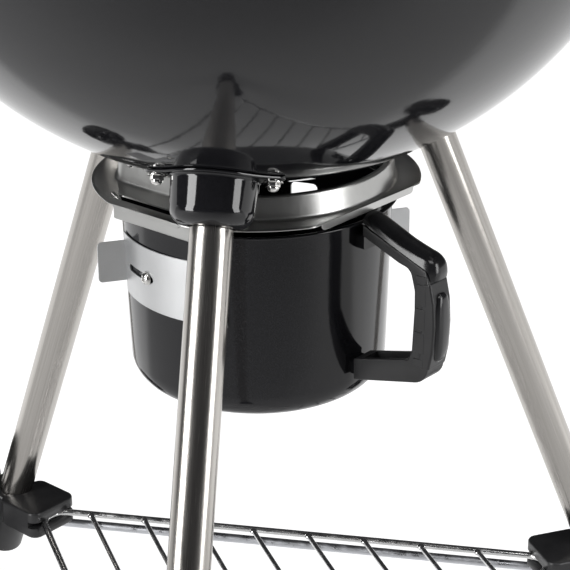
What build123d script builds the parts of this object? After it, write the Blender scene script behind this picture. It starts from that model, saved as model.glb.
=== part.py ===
from build123d import *
import os
from math import radians, degrees, sin, cos, tan, asin, sqrt

os.makedirs("parts", exist_ok=True)

# Kettle charcoal grill, millimetres, Z up. The ground is z = 0 and the front leg points to -Y.
# Azimuths are counted in degrees from the front (-Y) towards +X, seen from above.

# Bowl, a pressed spherical shell
bowl_radius = 292.7
bowl_sheet = 1.6
bowl_bottom = 500.0
bowl_centre = bowl_bottom + bowl_radius
bowl_rim_radius = 285.0
bowl_opening = 65.0
bead = 3.2

# Lid, a shallower dome whose brim hangs round the bowl's bead
lid_sheet = 1.4
lid_step_radius = 283.0
lid_height = 190.0
lid_brim = 292.5
lid_skirt = 9.0
lid_gap = 0.3

# Ring under the bowl, which carries the ash pot in two rails
ring_z = bowl_bottom - 9.3
ring_radius = 123.0
ring_sheet = 1.2
side_chord = 117.4
front_chord = 107.5
collar_radius = 104.0
collar_flat = 81.0
collar_height = 18.0
slot_inner = 100.0
slot_outer = 108.0
slot_half = 41.0
slide_azimuth = 60.0

# Ash pot
rim_z = ring_z - 11.5
pot_base = ring_z - 160.0
pot_top_radius = 102.2
pot_base_radius = 97.9
pot_rim_radius = 107.0
pot_corner = 22.0
pot_sheet = 1.2

# Damper bands on the pot
band_top = ring_z - 34.0
band_low = ring_z - 82.5
band_gap = 0.4
band_sheet = 1.0
band_start = -62.0
band_end = -0.5
band_slot = (-55.5, -36.0)
band_screw = -40.0
screw_z = ring_z - 58.0
vent_azimuth = -10.5
vent_width = 23.0
vent_height = 35.0
tab_reach = 123.5

# Legs
leg_azimuths = {"front": 0.0, "rear_right": 120.0, "rear_left": -120.0}
leg_radius = 15.0
leg_wall = 1.2
leg_splay = 22.48
leg_at_ring = 151.46
foot_radius = 19.0
wheel_radius = 75.0
wheel_width = 34.0
wheel_x = 326.0
axle_radius = 4.0

# Wire goods
shelf_z = 100.0
shelf_side = 139.0
shelf_corner = 18.0
shelf_rim_wire = 3.0
shelf_bar_wire = 2.2
shelf_pitch = 44.0
coal_grate_z = 600.0
coal_grate_radius = 210.0
cook_grate_z = 700.0
cook_grate_radius = 264.0

# The footprint reaches from the foot's front edge to the back of the lid's brim.
# The row's origin is its middle, so the kettle's axis stands a little behind it.
foot_front = leg_at_ring + ring_z * tan(radians(leg_splay)) + foot_radius / cos(radians(leg_splay))
kettle_y = (foot_front - lid_brim) / 2
kettle_axis = Axis((0, kettle_y, 0), (0, 0, 1))


def outward(azimuth):
    """Level direction away from the kettle's axis."""
    return Vector(sin(radians(azimuth)), -cos(radians(azimuth)), 0)


def sideways(azimuth):
    """Level direction along the circle, towards larger azimuths."""
    return Vector(cos(radians(azimuth)), sin(radians(azimuth)), 0)


def spot(azimuth, radius, z):
    return Vector(0, kettle_y, z) + outward(azimuth) * radius


def level(z, azimuth=90.0):
    """Horizontal plane on the axis, its x along an azimuth."""
    return Plane(origin=(0, kettle_y, z), x_dir=outward(azimuth), z_dir=(0, 0, 1))


def upright(azimuth):
    """Plane through the axis: x is the radius and y is the height."""
    return Plane(origin=(0, kettle_y, 0), x_dir=outward(azimuth), z_dir=-sideways(azimuth))


def facing(azimuth, radius, z):
    """Upright plane across a radius: x runs sideways, y up, and its normal points outward."""
    return Plane(origin=spot(azimuth, radius, z), x_dir=sideways(azimuth), z_dir=outward(azimuth))


def on_sphere(azimuth, radius, centre_z, shell, down=True):
    """Plane touching a sphere about the axis, its normal pointing out of the sphere."""
    tilt = asin(radius / shell)
    sign = -1 if down else 1
    normal = outward(azimuth) * sin(tilt) + Vector(0, 0, sign * cos(tilt))
    height = centre_z + sign * shell * cos(tilt)
    return Plane(origin=spot(azimuth, radius, height), x_dir=sideways(azimuth), z_dir=normal)


def along_leg(azimuth, z):
    """Plane square to a leg where its axis is at height z, its normal pointing down the leg."""
    reach = leg_at_ring + (ring_z - z) * tan(radians(leg_splay))
    down = outward(azimuth) * sin(radians(leg_splay)) - Vector(0, 0, cos(radians(leg_splay)))
    return Plane(origin=spot(azimuth, reach, z), x_dir=sideways(azimuth), z_dir=down)


def leg_length(z_from, z_to):
    return (z_from - z_to) / cos(radians(leg_splay))


def pot_radius(z):
    """Outside radius of the pot's slightly tapered wall."""
    share = (rim_z - pot_sheet - z) / (rim_z - pot_sheet - pot_base)
    return pot_top_radius + share * (pot_base_radius - pot_top_radius)


# Planes for what is fastened to the bowl
socket_radius = 134.1
socket_planes = {n: on_sphere(a, socket_radius, bowl_centre, bowl_radius) for n, a in leg_azimuths.items()}
socket_bolt_x = 40.0
ring_ear_azimuths = [slide_azimuth + turn for turn in (-64.5, -115.5, 64.5, 115.5)]
ring_ear_radius = 97.0
ear_planes = [on_sphere(a, ring_ear_radius, bowl_centre, bowl_radius) for a in ring_ear_azimuths]
side_azimuths = {"right": 90.0, "left": -90.0}
handle_half = 62.0
handle_bolt_z = 706.0

# ---- bowl ----
rim_drop = sqrt(bowl_radius**2 - bowl_rim_radius**2)
bowl_rim_z = bowl_centre - rim_drop
bowl_inner = bowl_radius - bowl_sheet
bolt_hole = 3.4

with BuildPart() as bowl:
    with BuildSketch(upright(0)):
        with BuildLine():
            low_tilt = degrees(asin(bowl_opening / bowl_radius))
            rim_tilt = degrees(asin(bowl_rim_radius / bowl_radius))
            outer = CenterArc((0, bowl_centre), bowl_radius, -90 + low_tilt, rim_tilt - low_tilt)
            inner = CenterArc((0, bowl_centre), bowl_inner, -90 + low_tilt, rim_tilt - low_tilt)
            Line(outer @ 0, inner @ 0)
            Line(outer @ 1, inner @ 1)
        make_face()
        with Locations((bowl_rim_radius + 0.6, bowl_rim_z)):
            Circle(bead)
        with Locations((bowl_opening + 1, bowl_centre - sqrt(bowl_radius**2 - bowl_opening**2) + 0.9)):
            Circle(1.6)
    revolve(axis=kettle_axis)
    socket_holes = [p * Location((s * socket_bolt_x, 0, 0)) for p in socket_planes.values() for s in (-1, 1)]
    with Locations(*socket_holes, *[p.location for p in ear_planes]):
        Cylinder(bolt_hole, 30, mode=Mode.SUBTRACT)
    for azimuth in side_azimuths.values():
        with BuildSketch(facing(azimuth, 200, handle_bolt_z)):
            with Locations((-handle_half, 0), (handle_half, 0)):
                Circle(bolt_hole)
        extrude(amount=150, mode=Mode.SUBTRACT)
bowl.part.label = "bowl"
export_step(bowl.part, "parts/bowl.step")


# ---- ring under the bowl ----
def ring_outline(radius, flat):
    """Circle with two flats on the rails' sides."""
    Circle(radius)
    Rectangle(2 * radius, 2 * flat, mode=Mode.INTERSECT)


rail_depth = 13.6
lip = 6.0

with BuildPart() as ash_pot_ring:
    with BuildSketch(level(ring_z - ring_sheet / 2, slide_azimuth)):
        Circle(ring_radius)
        Rectangle(2 * ring_radius, 2 * side_chord, mode=Mode.INTERSECT)
        with Locations((front_chord - 2 * ring_radius, 0)):
            Rectangle(4 * ring_radius, 2 * ring_radius, align=(Align.CENTER, Align.CENTER), mode=Mode.INTERSECT)
    extrude(amount=ring_sheet)
    # collar, drawn upwards towards the bowl
    with BuildSketch(level(ring_z, slide_azimuth)):
        ring_outline(collar_radius, collar_flat)
        fillet(vertices(), 12)
    extrude(amount=collar_height, taper=6)
    fillet(faces().sort_by(Axis.Z)[-1].edges(), 2)
    with BuildSketch(level(ring_z - ring_sheet, slide_azimuth)):
        ring_outline(collar_radius - ring_sheet, collar_flat - ring_sheet)
        fillet(vertices(), 11)
    extrude(amount=collar_height, taper=6, mode=Mode.SUBTRACT)
    with BuildSketch(level(ring_z, slide_azimuth)):
        ring_outline(collar_radius - 5.5, collar_flat - 5.5)
        fillet(vertices(), 10)
    extrude(amount=2 * collar_height, mode=Mode.SUBTRACT)
    # slots, and the strips beside them that are bent down and in as rails
    for side in (-1, 1):
        with BuildSketch(level(ring_z - 2, slide_azimuth)):
            with Locations((0, side * (slot_inner + slot_outer) / 2)):
                RectangleRounded(2 * slot_half, slot_outer - slot_inner, 2)
        extrude(amount=4, mode=Mode.SUBTRACT)
        with Locations(level(ring_z, slide_azimuth) * Location((0, side * (slot_outer + ring_sheet / 2), 0))):
            Box(2 * slot_half, ring_sheet, rail_depth + 1.4, align=(Align.CENTER, Align.CENTER, Align.MAX))
        foot = level(ring_z - rail_depth - 1.4, slide_azimuth) * Location((0, side * (slot_outer - 1.6), 0))
        with Locations(foot):
            Box(2 * slot_half, 5.6, ring_sheet, align=(Align.CENTER, Align.CENTER, Align.MIN))
        with Locations(level(ring_z, slide_azimuth) * Location((0, side * (side_chord - ring_sheet / 2), 0))):
            Box(66, ring_sheet, 3.4, align=(Align.CENTER, Align.CENTER, Align.MAX))
    # lip along the front chord
    with BuildSketch(facing(slide_azimuth, front_chord, ring_z + 0.2)):
        with Locations((0, -lip / 2)):
            RectangleRounded(104, lip, 2.4)
    extrude(amount=-ring_sheet)
    # ears that follow the bowl
    for plane in ear_planes:
        with BuildSketch(plane.offset(0.6)):
            with Locations((0, -3)):
                RectangleRounded(17, 19, 5)
            Circle(bolt_hole, mode=Mode.SUBTRACT)
        extrude(amount=ring_sheet)
    risers = level(ring_z + collar_height - 4, slide_azimuth)
    for along in (-1, 1):
        for side in (-1, 1):
            with Locations(risers * Location((along * 41.8, side * (collar_flat - 2.4), 0))):
                Box(12, 1.4, 8.2, align=(Align.CENTER, Align.CENTER, Align.MIN))
ash_pot_ring.part.label = "ash_pot_ring"
export_step(ash_pot_ring.part, "parts/ash_pot_ring.step")


def add_bolt(plane, grip, back, head=5.6, shank=3.0):
    """Bolt through a sheet: a domed nut outside, a shank, and a round head inside."""
    with BuildSketch(plane.offset(-back)) as rod:
        Circle(shank)
    extrude(rod.sketch, amount=back + grip + 2)
    with BuildSketch(plane.offset(grip)) as nut:
        RegularPolygon(head, 6)
    extrude(nut.sketch, amount=3.4)
    with Locations(plane.offset(grip + 3.4).location):
        Sphere(head * 0.78)
    with BuildSketch(plane.offset(-back)) as round_head:
        Circle(head)
    extrude(round_head.sketch, amount=-2.6)


with BuildPart() as ring_bolts:
    for plane in ear_planes:
        add_bolt(plane, 0.6 + ring_sheet + 0.05, bowl_sheet + 0.15, head=4.6)
ring_bolts.part.label = "ring_bolts"
export_step(ring_bolts.part, "parts/ring_bolts.step")

# ---- leg sockets ----
plate = 1.8
plate_gap = 0.4
cup_radius = 31.5
cup_depth = 38.0
cup_wall = 1.8

stub_radius = leg_radius - leg_wall - 0.1
stub_wall = 1.8
stub_length = 30.0
ear_radius = 8.0


def socket_plate():
    """Oval plate under the bowl with a bolt hole in each ear."""
    Circle(cup_radius + 3)
    with Locations((-socket_bolt_x, 0), (socket_bolt_x, 0)):
        Circle(ear_radius)
    make_hull()
    with Locations((-socket_bolt_x, 0), (socket_bolt_x, 0)):
        Circle(bolt_hole, mode=Mode.SUBTRACT)


# The front leg stands in a deep cup
front_plane = socket_planes["front"]
with BuildPart() as leg_socket_front:
    with BuildSketch(front_plane.offset(plate_gap)) as flange:
        socket_plate()
        Circle(cup_radius - cup_wall, mode=Mode.SUBTRACT)
    extrude(flange.sketch, amount=plate)
    with BuildSketch(Plane(origin=front_plane.origin, x_dir=front_plane.x_dir, z_dir=-front_plane.y_dir)) as cup:
        with BuildLine():
            Polyline(
                (cup_radius - cup_wall, plate_gap), (cup_radius, plate_gap), (cup_radius - 2.5, cup_depth),
                (12, cup_depth), (12, cup_depth - cup_wall), (cup_radius - 4.1, cup_depth - cup_wall), close=True)
        make_face()
        fillet(cup.vertices().group_by(Axis.Y)[-1].sort_by(Axis.X)[-1], 12)
        fillet(cup.vertices().filter_by_position(Axis.Y, cup_depth - cup_wall - 0.1, cup_depth - cup_wall + 0.1)
               .sort_by(Axis.X)[-1], 10)
    revolve(cup.sketch, axis=Axis(front_plane.origin, front_plane.z_dir))
    with BuildSketch(along_leg(0, ring_z + 60)) as bore:
        Circle(leg_radius + 0.05)
    extrude(bore.sketch, amount=leg_length(60, -60), mode=Mode.SUBTRACT)
leg_socket_front.part.label = "leg_socket_front"
export_step(leg_socket_front.part, "parts/leg_socket_front.step")

# The rear legs are pushed over stubs, so that only a thin plate shows
for name in ("rear_left", "rear_right"):
    plane = socket_planes[name]
    with BuildPart() as leg_socket:
        with BuildSketch(plane.offset(plate_gap)) as flange:
            socket_plate()
        extrude(flange.sketch, amount=plate)
        stub_top = plane.offset(plate_gap + plate / 2).origin.Z
        with BuildSketch(along_leg(leg_azimuths[name], stub_top)) as stub:
            Circle(stub_radius)
            Circle(stub_radius - stub_wall, mode=Mode.SUBTRACT)
        extrude(stub.sketch, amount=stub_length)
    leg_socket.part.label = "leg_socket_" + name
    export_step(leg_socket.part, f"parts/leg_socket_{name}.step")

with BuildPart() as socket_bolts:
    for plane in socket_planes.values():
        for side in (-1, 1):
            seat = Plane(plane.location * Location((side * socket_bolt_x, 0, 0)))
            add_bolt(seat, plate_gap + plate + 0.05, bowl_sheet + 3.9)
socket_bolts.part.label = "socket_bolts"
export_step(socket_bolts.part, "parts/socket_bolts.step")

# ---- legs and what stands on the ground ----
leg_top = ring_z + 26
front_end = 10.0
rear_end = 58.0
sleeve_top = 86.0
sleeve_end = 50.0

axle_reach = leg_at_ring + (ring_z - wheel_radius) * tan(radians(leg_splay))
axle_point = spot(120, axle_reach, wheel_radius)
axle_y = axle_point.Y
axle_half = wheel_x + wheel_width / 2 + 6

for name, azimuth in leg_azimuths.items():
    leg_end = front_end if name == "front" else rear_end
    tube_top = leg_top if name == "front" else ring_z + 60
    with BuildPart() as leg:
        with BuildSketch(along_leg(azimuth, tube_top)) as tube:
            Circle(leg_radius)
            Circle(leg_radius - leg_wall, mode=Mode.SUBTRACT)
        extrude(tube.sketch, amount=leg_length(tube_top, leg_end))
        if name != "front":
            with BuildSketch(socket_planes[name].offset(plate_gap + plate + 0.05)) as under_plate:
                Circle(60)
            extrude(under_plate.sketch, amount=-100, mode=Mode.SUBTRACT)
            with BuildSketch(Plane.YZ.offset(-400)) as axle_hole:
                with Locations((axle_y, wheel_radius)):
                    Circle(axle_radius + 0.05)
            extrude(axle_hole.sketch, amount=800, mode=Mode.SUBTRACT)
    leg.part.label = "leg_" + name
    export_step(leg.part, f"parts/leg_{name}.step")

with BuildPart() as front_foot:
    with BuildSketch(along_leg(0, 50)):
        Circle(foot_radius)
    extrude(amount=leg_length(50, -25))
    fillet(edges().sort_by(Axis.Z)[-1], 2.5)
    with BuildSketch(along_leg(0, 60)):
        Circle(leg_radius + 0.05)
    extrude(amount=leg_length(60, front_end), mode=Mode.SUBTRACT)
    with Locations((0, 0, 0)):
        Box(2000, 2000, 200, align=(Align.CENTER, Align.CENTER, Align.MAX), mode=Mode.SUBTRACT)
front_foot.part.label = "front_foot"
export_step(front_foot.part, "parts/front_foot.step")

for name in ("rear_left", "rear_right"):
    azimuth = leg_azimuths[name]
    with BuildPart() as axle_block:
        with BuildSketch(along_leg(azimuth, sleeve_top)):
            Circle(foot_radius)
        extrude(amount=leg_length(sleeve_top, sleeve_end))
        fillet(edges().sort_by(Axis.Z)[-1], 2.5)
        fillet(edges().sort_by(Axis.Z)[0], 6)
        with BuildSketch(along_leg(azimuth, sleeve_top + 10)):
            Circle(leg_radius + 0.05)
        extrude(amount=leg_length(sleeve_top + 10, rear_end), mode=Mode.SUBTRACT)
        with BuildSketch(Plane.YZ.offset(-400)):
            with Locations((axle_y, wheel_radius)):
                Circle(axle_radius + 0.05)
        extrude(amount=800, mode=Mode.SUBTRACT)
    axle_block.part.label = "axle_block_" + name.split("_")[1]
    export_step(axle_block.part, f"parts/axle_block_{name.split('_')[1]}.step")

with BuildPart() as axle:
    with BuildSketch(Plane.YZ.offset(-axle_half)):
        with Locations((axle_y, wheel_radius)):
            Circle(axle_radius)
    extrude(amount=2 * axle_half)
axle.part.label = "axle"
export_step(axle.part, "parts/axle.step")

cap_seat = wheel_x + wheel_width / 2 + 0.6
with BuildPart() as axle_cap_nuts:
    for side in (-1, 1):
        with BuildSketch(Plane(origin=(side * cap_seat, axle_y, wheel_radius), z_dir=(side, 0, 0))):
            Circle(10)
            Circle(axle_radius + 0.03, mode=Mode.SUBTRACT)
        extrude(amount=axle_half - cap_seat)
        with BuildSketch(Plane(origin=(side * axle_half, axle_y, wheel_radius), z_dir=(side, 0, 0))):
            Circle(10)
        extrude(amount=4, taper=35)
axle_cap_nuts.part.label = "axle_cap_nuts"
export_step(axle_cap_nuts.part, "parts/axle_cap_nuts.step")

rim_outer = 63.0
hub = 15.0
web = 5.0

for side, name in ((-1, "left"), (1, "right")):
    middle = Plane(origin=(side * wheel_x, axle_y, wheel_radius), x_dir=(0, 1, 0), z_dir=(side, 0, 0))
    profile = Plane(origin=middle.origin, x_dir=(0, 1, 0), z_dir=(0, 0, 1))
    spin = Axis(middle.origin, (1, 0, 0))
    with BuildPart() as wheel:
        with BuildSketch(profile):
            with Locations((rim_outer - 3, 0)):
                Rectangle(6, 26)
            with Locations(((rim_outer + hub) / 2 - 1, 0)):
                Rectangle(rim_outer - hub, web)
            with Locations(((hub + axle_radius + 0.06) / 2, 0)):
                Rectangle(hub - axle_radius - 0.06, wheel_width)
        revolve(axis=spin)
        with BuildSketch(middle.offset(-web)):
            with PolarLocations((rim_outer + hub) / 2 - 1, 6):
                Circle(10)
        extrude(amount=2 * web, mode=Mode.SUBTRACT)
    wheel.part.label = "wheel_" + name
    export_step(wheel.part, f"parts/wheel_{name}.step")
    with BuildPart() as tyre:
        with BuildSketch(profile) as tread:
            with BuildLine():
                Polyline((rim_outer + 0.02, -14), (rim_outer + 0.02, 14), (wheel_radius - 3, 15))
                ThreePointArc((wheel_radius - 3, 15), (wheel_radius, 0), (wheel_radius - 3, -15))
                Line((wheel_radius - 3, -15), (rim_outer + 0.02, -14))
            make_face()
        revolve(axis=spin)
    tyre.part.label = "tyre_" + name
    export_step(tyre.part, f"parts/tyre_{name}.step")


# ---- wire goods ----
def wire_disc(z, radius, rim_wire, bar_wire, pitch, brace_x, brace_wire):
    """Round welded grille: a rim, bars along X, and two braces under them."""
    with BuildSketch(upright(0)) as rim:
        with Locations((radius, z)):
            Circle(rim_wire)
    revolve(rim.sketch, axis=kettle_axis)
    rows = int((radius - rim_wire - 4) // pitch)
    for row in range(-rows, rows + 1):
        half = sqrt(radius**2 - (row * pitch) ** 2)
        with BuildSketch(Plane(origin=(-half, kettle_y + row * pitch, z), z_dir=(1, 0, 0))) as bar:
            Circle(bar_wire)
        extrude(bar.sketch, amount=2 * half)
    for side in (-1, 1):
        half = sqrt(radius**2 - brace_x**2)
        low = z - bar_wire - brace_wire + 0.8
        with BuildSketch(Plane(origin=(side * brace_x, kettle_y - half, low), z_dir=(0, 1, 0))) as brace:
            Circle(brace_wire)
        extrude(brace.sketch, amount=2 * half)


# The shelf is a triangle of rod low between the legs, its bars along one side
shelf_reach = 2 * shelf_side
shelf_corners = [spot(azimuth, shelf_reach, shelf_z) for azimuth in (0, 120, 240)]
bar_turn = -60.0

with BuildPart() as wire_shelf:
    with BuildLine() as rim_line:
        FilletPolyline(*shelf_corners, radius=shelf_corner, close=True)
    with BuildSketch(Plane(origin=rim_line.line @ 0, z_dir=rim_line.line % 0)) as rim_rod:
        Circle(shelf_rim_wire)
    sweep(rim_rod.sketch, path=rim_line.line)
    offset_in = shelf_side - shelf_pitch
    while offset_in > shelf_pitch / 2 - shelf_reach:
        half = (offset_in + shelf_reach) / sqrt(3)
        middle = spot(bar_turn, offset_in, shelf_z)
        bar_start = middle - sideways(bar_turn) * half
        with BuildSketch(Plane(origin=bar_start, z_dir=sideways(bar_turn))) as bar:
            Circle(shelf_bar_wire)
        extrude(bar.sketch, amount=2 * half)
        offset_in -= shelf_pitch
wire_shelf.part.label = "wire_shelf"
export_step(wire_shelf.part, "parts/wire_shelf.step")

# A moulded clamp on each leg holds a corner of the shelf
clamp_sleeve = 21.0
clamp_half = 13.0
clamp_width = 52.0
clamp_inner = 254.0
clamp_outer = 304.0
slot_play = 0.05
with BuildPart() as shelf_clips:
    for azimuth in leg_azimuths.values():
        with BuildSketch(along_leg(azimuth, shelf_z + clamp_half)) as sleeve:
            Circle(clamp_sleeve)
        extrude(sleeve.sketch, amount=leg_length(2 * clamp_half, 0))
        with BuildSketch(level(shelf_z - clamp_half, azimuth)) as block:
            with Locations(((clamp_inner + clamp_outer) / 2, 0)):
                RectangleRounded(clamp_outer - clamp_inner, clamp_width, 9)
        extrude(block.sketch, amount=2 * clamp_half)
        with BuildSketch(level(shelf_z - shelf_rim_wire - slot_play, azimuth)) as slot:
            with Locations((clamp_inner, 0)):
                Rectangle(2 * (shelf_reach - shelf_corner + shelf_rim_wire + 0.1 - clamp_inner), 2 * clamp_width)
        extrude(slot.sketch, amount=2 * (shelf_rim_wire + slot_play), mode=Mode.SUBTRACT)
        with BuildSketch(along_leg(azimuth, shelf_z + 60)) as bore:
            Circle(leg_radius + 0.05)
        extrude(bore.sketch, amount=140, mode=Mode.SUBTRACT)
shelf_clips.part.label = "shelf_clips"
export_step(shelf_clips.part, "parts/shelf_clips.step")

with BuildPart() as charcoal_grate:
    wire_disc(coal_grate_z, coal_grate_radius, 3.5, 3.0, 26.0, 90.0, 3.0)
charcoal_grate.part.label = "charcoal_grate"
export_step(charcoal_grate.part, "parts/charcoal_grate.step")

loop_height = 22.0
with BuildPart() as cooking_grate:
    wire_disc(cook_grate_z, cook_grate_radius, 3.0, 2.2, 18.0, 120.0, 2.6)
    for side in (-1, 1):
        start = (side * 239, kettle_y - 54, cook_grate_z - 1)
        with BuildLine() as loop:
            FilletPolyline(
                start, (side * 232, kettle_y - 54, cook_grate_z + loop_height),
                (side * 232, kettle_y + 54, cook_grate_z + loop_height),
                (side * 239, kettle_y + 54, cook_grate_z - 1), radius=10)
        with BuildSketch(Plane(origin=loop.line @ 0, z_dir=loop.line % 0)):
            Circle(2.6)
        sweep(path=loop.line)
cooking_grate.part.label = "cooking_grate"
export_step(cooking_grate.part, "parts/cooking_grate.step")


def rest_brackets(grate_radius, z, wire, azimuths):
    """Folded strips inside the bowl: a foot against the wall and a ledge under the grate's rim."""
    ledge_top = z - wire - 0.2
    wall = sqrt(bowl_inner**2 - (bowl_centre - ledge_top + 2) ** 2)
    for azimuth in azimuths:
        with Locations(level(ledge_top, azimuth) * Location((wall - 0.7, 0, 0))):
            Box(wall - grate_radius + 8, 22, 2, align=(Align.MAX, Align.CENTER, Align.MAX))
        tab = on_sphere(azimuth, sqrt(bowl_inner**2 - (bowl_centre - ledge_top + 8) ** 2), bowl_centre, bowl_inner)
        with BuildSketch(tab.offset(-0.4)) as foot:
            RectangleRounded(22, 24, 4)
        extrude(foot.sketch, amount=-2)


with BuildPart() as charcoal_grate_rests:
    rest_brackets(coal_grate_radius, coal_grate_z, 3.5, (45, 135, 225, 315))
charcoal_grate_rests.part.label = "charcoal_grate_rests"
export_step(charcoal_grate_rests.part, "parts/charcoal_grate_rests.step")

with BuildPart() as cooking_grate_rests:
    rest_brackets(cook_grate_radius, cook_grate_z, 3.0, (55, 125, 235, 305))
cooking_grate_rests.part.label = "cooking_grate_rests"
export_step(cooking_grate_rests.part, "parts/cooking_grate_rests.step")

# ---- ash pot ----
with BuildPart() as ash_pot:
    with BuildSketch(upright(0)) as wall:
        with BuildLine():
            Polyline(
                (0, pot_base), (pot_base_radius, pot_base), (pot_top_radius, rim_z - pot_sheet),
                (pot_rim_radius, rim_z - pot_sheet), (pot_rim_radius, rim_z),
                (pot_top_radius - pot_sheet, rim_z), (pot_base_radius - pot_sheet, pot_base + pot_sheet),
                (0, pot_base + pot_sheet), close=True)
        make_face()
        fillet(wall.vertices().sort_by_distance((pot_base_radius, pot_base, 0))[0], pot_corner)
        corner = (pot_base_radius - pot_sheet, pot_base + pot_sheet, 0)
        fillet(wall.vertices().sort_by_distance(corner)[0], pot_corner - pot_sheet)
    revolve(axis=kettle_axis)
    for azimuth in (vent_azimuth, vent_azimuth + 180):
        with BuildSketch(facing(azimuth, 60, screw_z)):
            RectangleRounded(vent_width, vent_height, 4)
        extrude(amount=80, mode=Mode.SUBTRACT)
    for azimuth in (band_screw, band_screw + 180):
        with BuildSketch(facing(azimuth, 60, screw_z)):
            Circle(2.05)
        extrude(amount=80, mode=Mode.SUBTRACT)
ash_pot.part.label = "ash_pot"
export_step(ash_pot.part, "parts/ash_pot.step")

# ---- damper bands, each held by one screw in a slot ----
tab_low = -16.0
tab_high = 16.0

for name, turn in (("left", 0.0), ("right", 180.0)):
    start = band_start + turn
    with BuildPart() as damper:
        with BuildSketch(upright(start)):
            with BuildLine():
                low_r = pot_radius(band_low) + band_gap
                top_r = pot_radius(band_top) + band_gap
                Polyline((low_r, band_low), (low_r + band_sheet, band_low),
                         (top_r + band_sheet, band_top), (top_r, band_top), close=True)
            make_face()
        revolve(axis=kettle_axis, revolution_arc=band_end - band_start)
        with BuildSketch(facing(vent_azimuth + turn, 60, screw_z)):
            RectangleRounded(vent_width, vent_height, 4)
        extrude(amount=80, mode=Mode.SUBTRACT)
        slot_middle = sum(band_slot) / 2 + turn
        slot_length = 2 * pot_top_radius * sin(radians(band_slot[1] - band_slot[0]) / 2)
        with BuildSketch(facing(slot_middle, 60, screw_z)):
            SlotOverall(slot_length, 5.4)
        extrude(amount=80, mode=Mode.SUBTRACT)
        with BuildSketch(upright(start)) as tab:
            with Locations(((pot_top_radius + tab_reach) / 2, screw_z + 1)):
                Rectangle(tab_reach - pot_top_radius, tab_high - tab_low)
            fillet(tab.vertices().group_by(Axis.X)[-1], 3.5)
        extrude(amount=band_sheet)
    damper.part.label = "damper_" + name
    export_step(damper.part, f"parts/damper_{name}.step")

screw_seat = band_gap + band_sheet + 0.35
with BuildPart() as damper_screws:
    for azimuth in (band_screw, band_screw + 180):
        wall_face = facing(azimuth, pot_radius(screw_z), screw_z)
        with BuildSketch(wall_face.offset(-6)):
            Circle(2)
        extrude(amount=6 + screw_seat)
        with BuildSketch(wall_face.offset(screw_seat)):
            Circle(5.2)
        extrude(amount=1)
        with BuildSketch(wall_face.offset(screw_seat + 1)):
            Circle(4.4)
        extrude(amount=2.6, taper=25)
        with BuildSketch(wall_face.offset(-pot_sheet - 0.3)):
            RegularPolygon(4, 6)
        extrude(amount=-3)
damper_screws.part.label = "damper_screws"
export_step(damper_screws.part, "parts/damper_screws.step")

# ---- ash pot handle, in the upright plane along which the pot slides ----
grip_half = 10.5
cap_root = 109.6


def handle_solid(outline, half, rounding):
    """Closed outline in the handle's plane, the same thickness to both sides."""
    with BuildSketch(upright(slide_azimuth)) as shape:
        with BuildLine():
            Polyline(*[(r, ring_z + z) for r, z in outline], close=True)
        make_face()
        if rounding:
            fillet(shape.vertices(), rounding)
    extrude(shape.sketch, amount=half, both=True)


body_outline = [
    (cap_root, -11.5), (cap_root, -20), (144, -33), (155, -37), (156.5, -62), (155, -97),
    (148, -105), (102.5, -119), (102.5, -136), (166, -120), (171, -111), (174, -92), (174.5, -70),
    (170.5, -42), (166, -33)]
cap_outline = [
    (cap_root, -11.4), (cap_root, -4), (126, -10), (144, -17), (160, -22), (170, -28), (173, -38), (170.6, -40),
    (166.4, -32.9)]
pad_outline = [(175, -52), (177.2, -66), (177.4, -84), (175, -103), (174.7, -93), (175, -75)]

with BuildPart() as pot_handle_body:
    handle_solid(body_outline, grip_half, 1.0)
    with BuildSketch(upright(slide_azimuth)):
        with BuildLine():
            Polyline((112, ring_z - 115), (112, ring_z - 129), (146, ring_z - 120.5), (146, ring_z - 104),
                     close=True)
        make_face()
    extrude(amount=grip_half - 3, both=True, mode=Mode.SUBTRACT)
pot_handle_body.part.label = "pot_handle_body"
export_step(pot_handle_body.part, "parts/pot_handle_body.step")

with BuildPart() as pot_handle_cap:
    handle_solid(cap_outline, grip_half, 0.8)
pot_handle_cap.part.label = "pot_handle_cap"
export_step(pot_handle_cap.part, "parts/pot_handle_cap.step")

with BuildPart() as pot_handle_pad:
    handle_solid(pad_outline, grip_half - 2.5, 0)
pot_handle_pad.part.label = "pot_handle_pad"
export_step(pot_handle_pad.part, "parts/pot_handle_pad.step")

with BuildPart() as pot_handle_brackets:
    for height, reach in ((-26.0, cap_root - 0.1), (-127.0, 102.4)):
        with BuildSketch(facing(slide_azimuth, 90, ring_z + height)):
            RectangleRounded(16, 12, 2)
        extrude(amount=reach - 90)
    with BuildSketch(level(0, slide_azimuth)) as inside:
        Circle(95)
    extrude(inside.sketch, amount=600, mode=Mode.SUBTRACT)
    with BuildSketch(upright(0)):
        with BuildLine():
            Polyline((0, ring_z - 145), (pot_radius(ring_z - 145) + 0.05, ring_z - 145),
                     (pot_top_radius + 0.05, rim_z - 1.3), (0, rim_z - 1.3), close=True)
        make_face()
    revolve(axis=kettle_axis, mode=Mode.SUBTRACT)
pot_handle_brackets.part.label = "pot_handle_brackets"
export_step(pot_handle_brackets.part, "parts/pot_handle_brackets.step")

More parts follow.
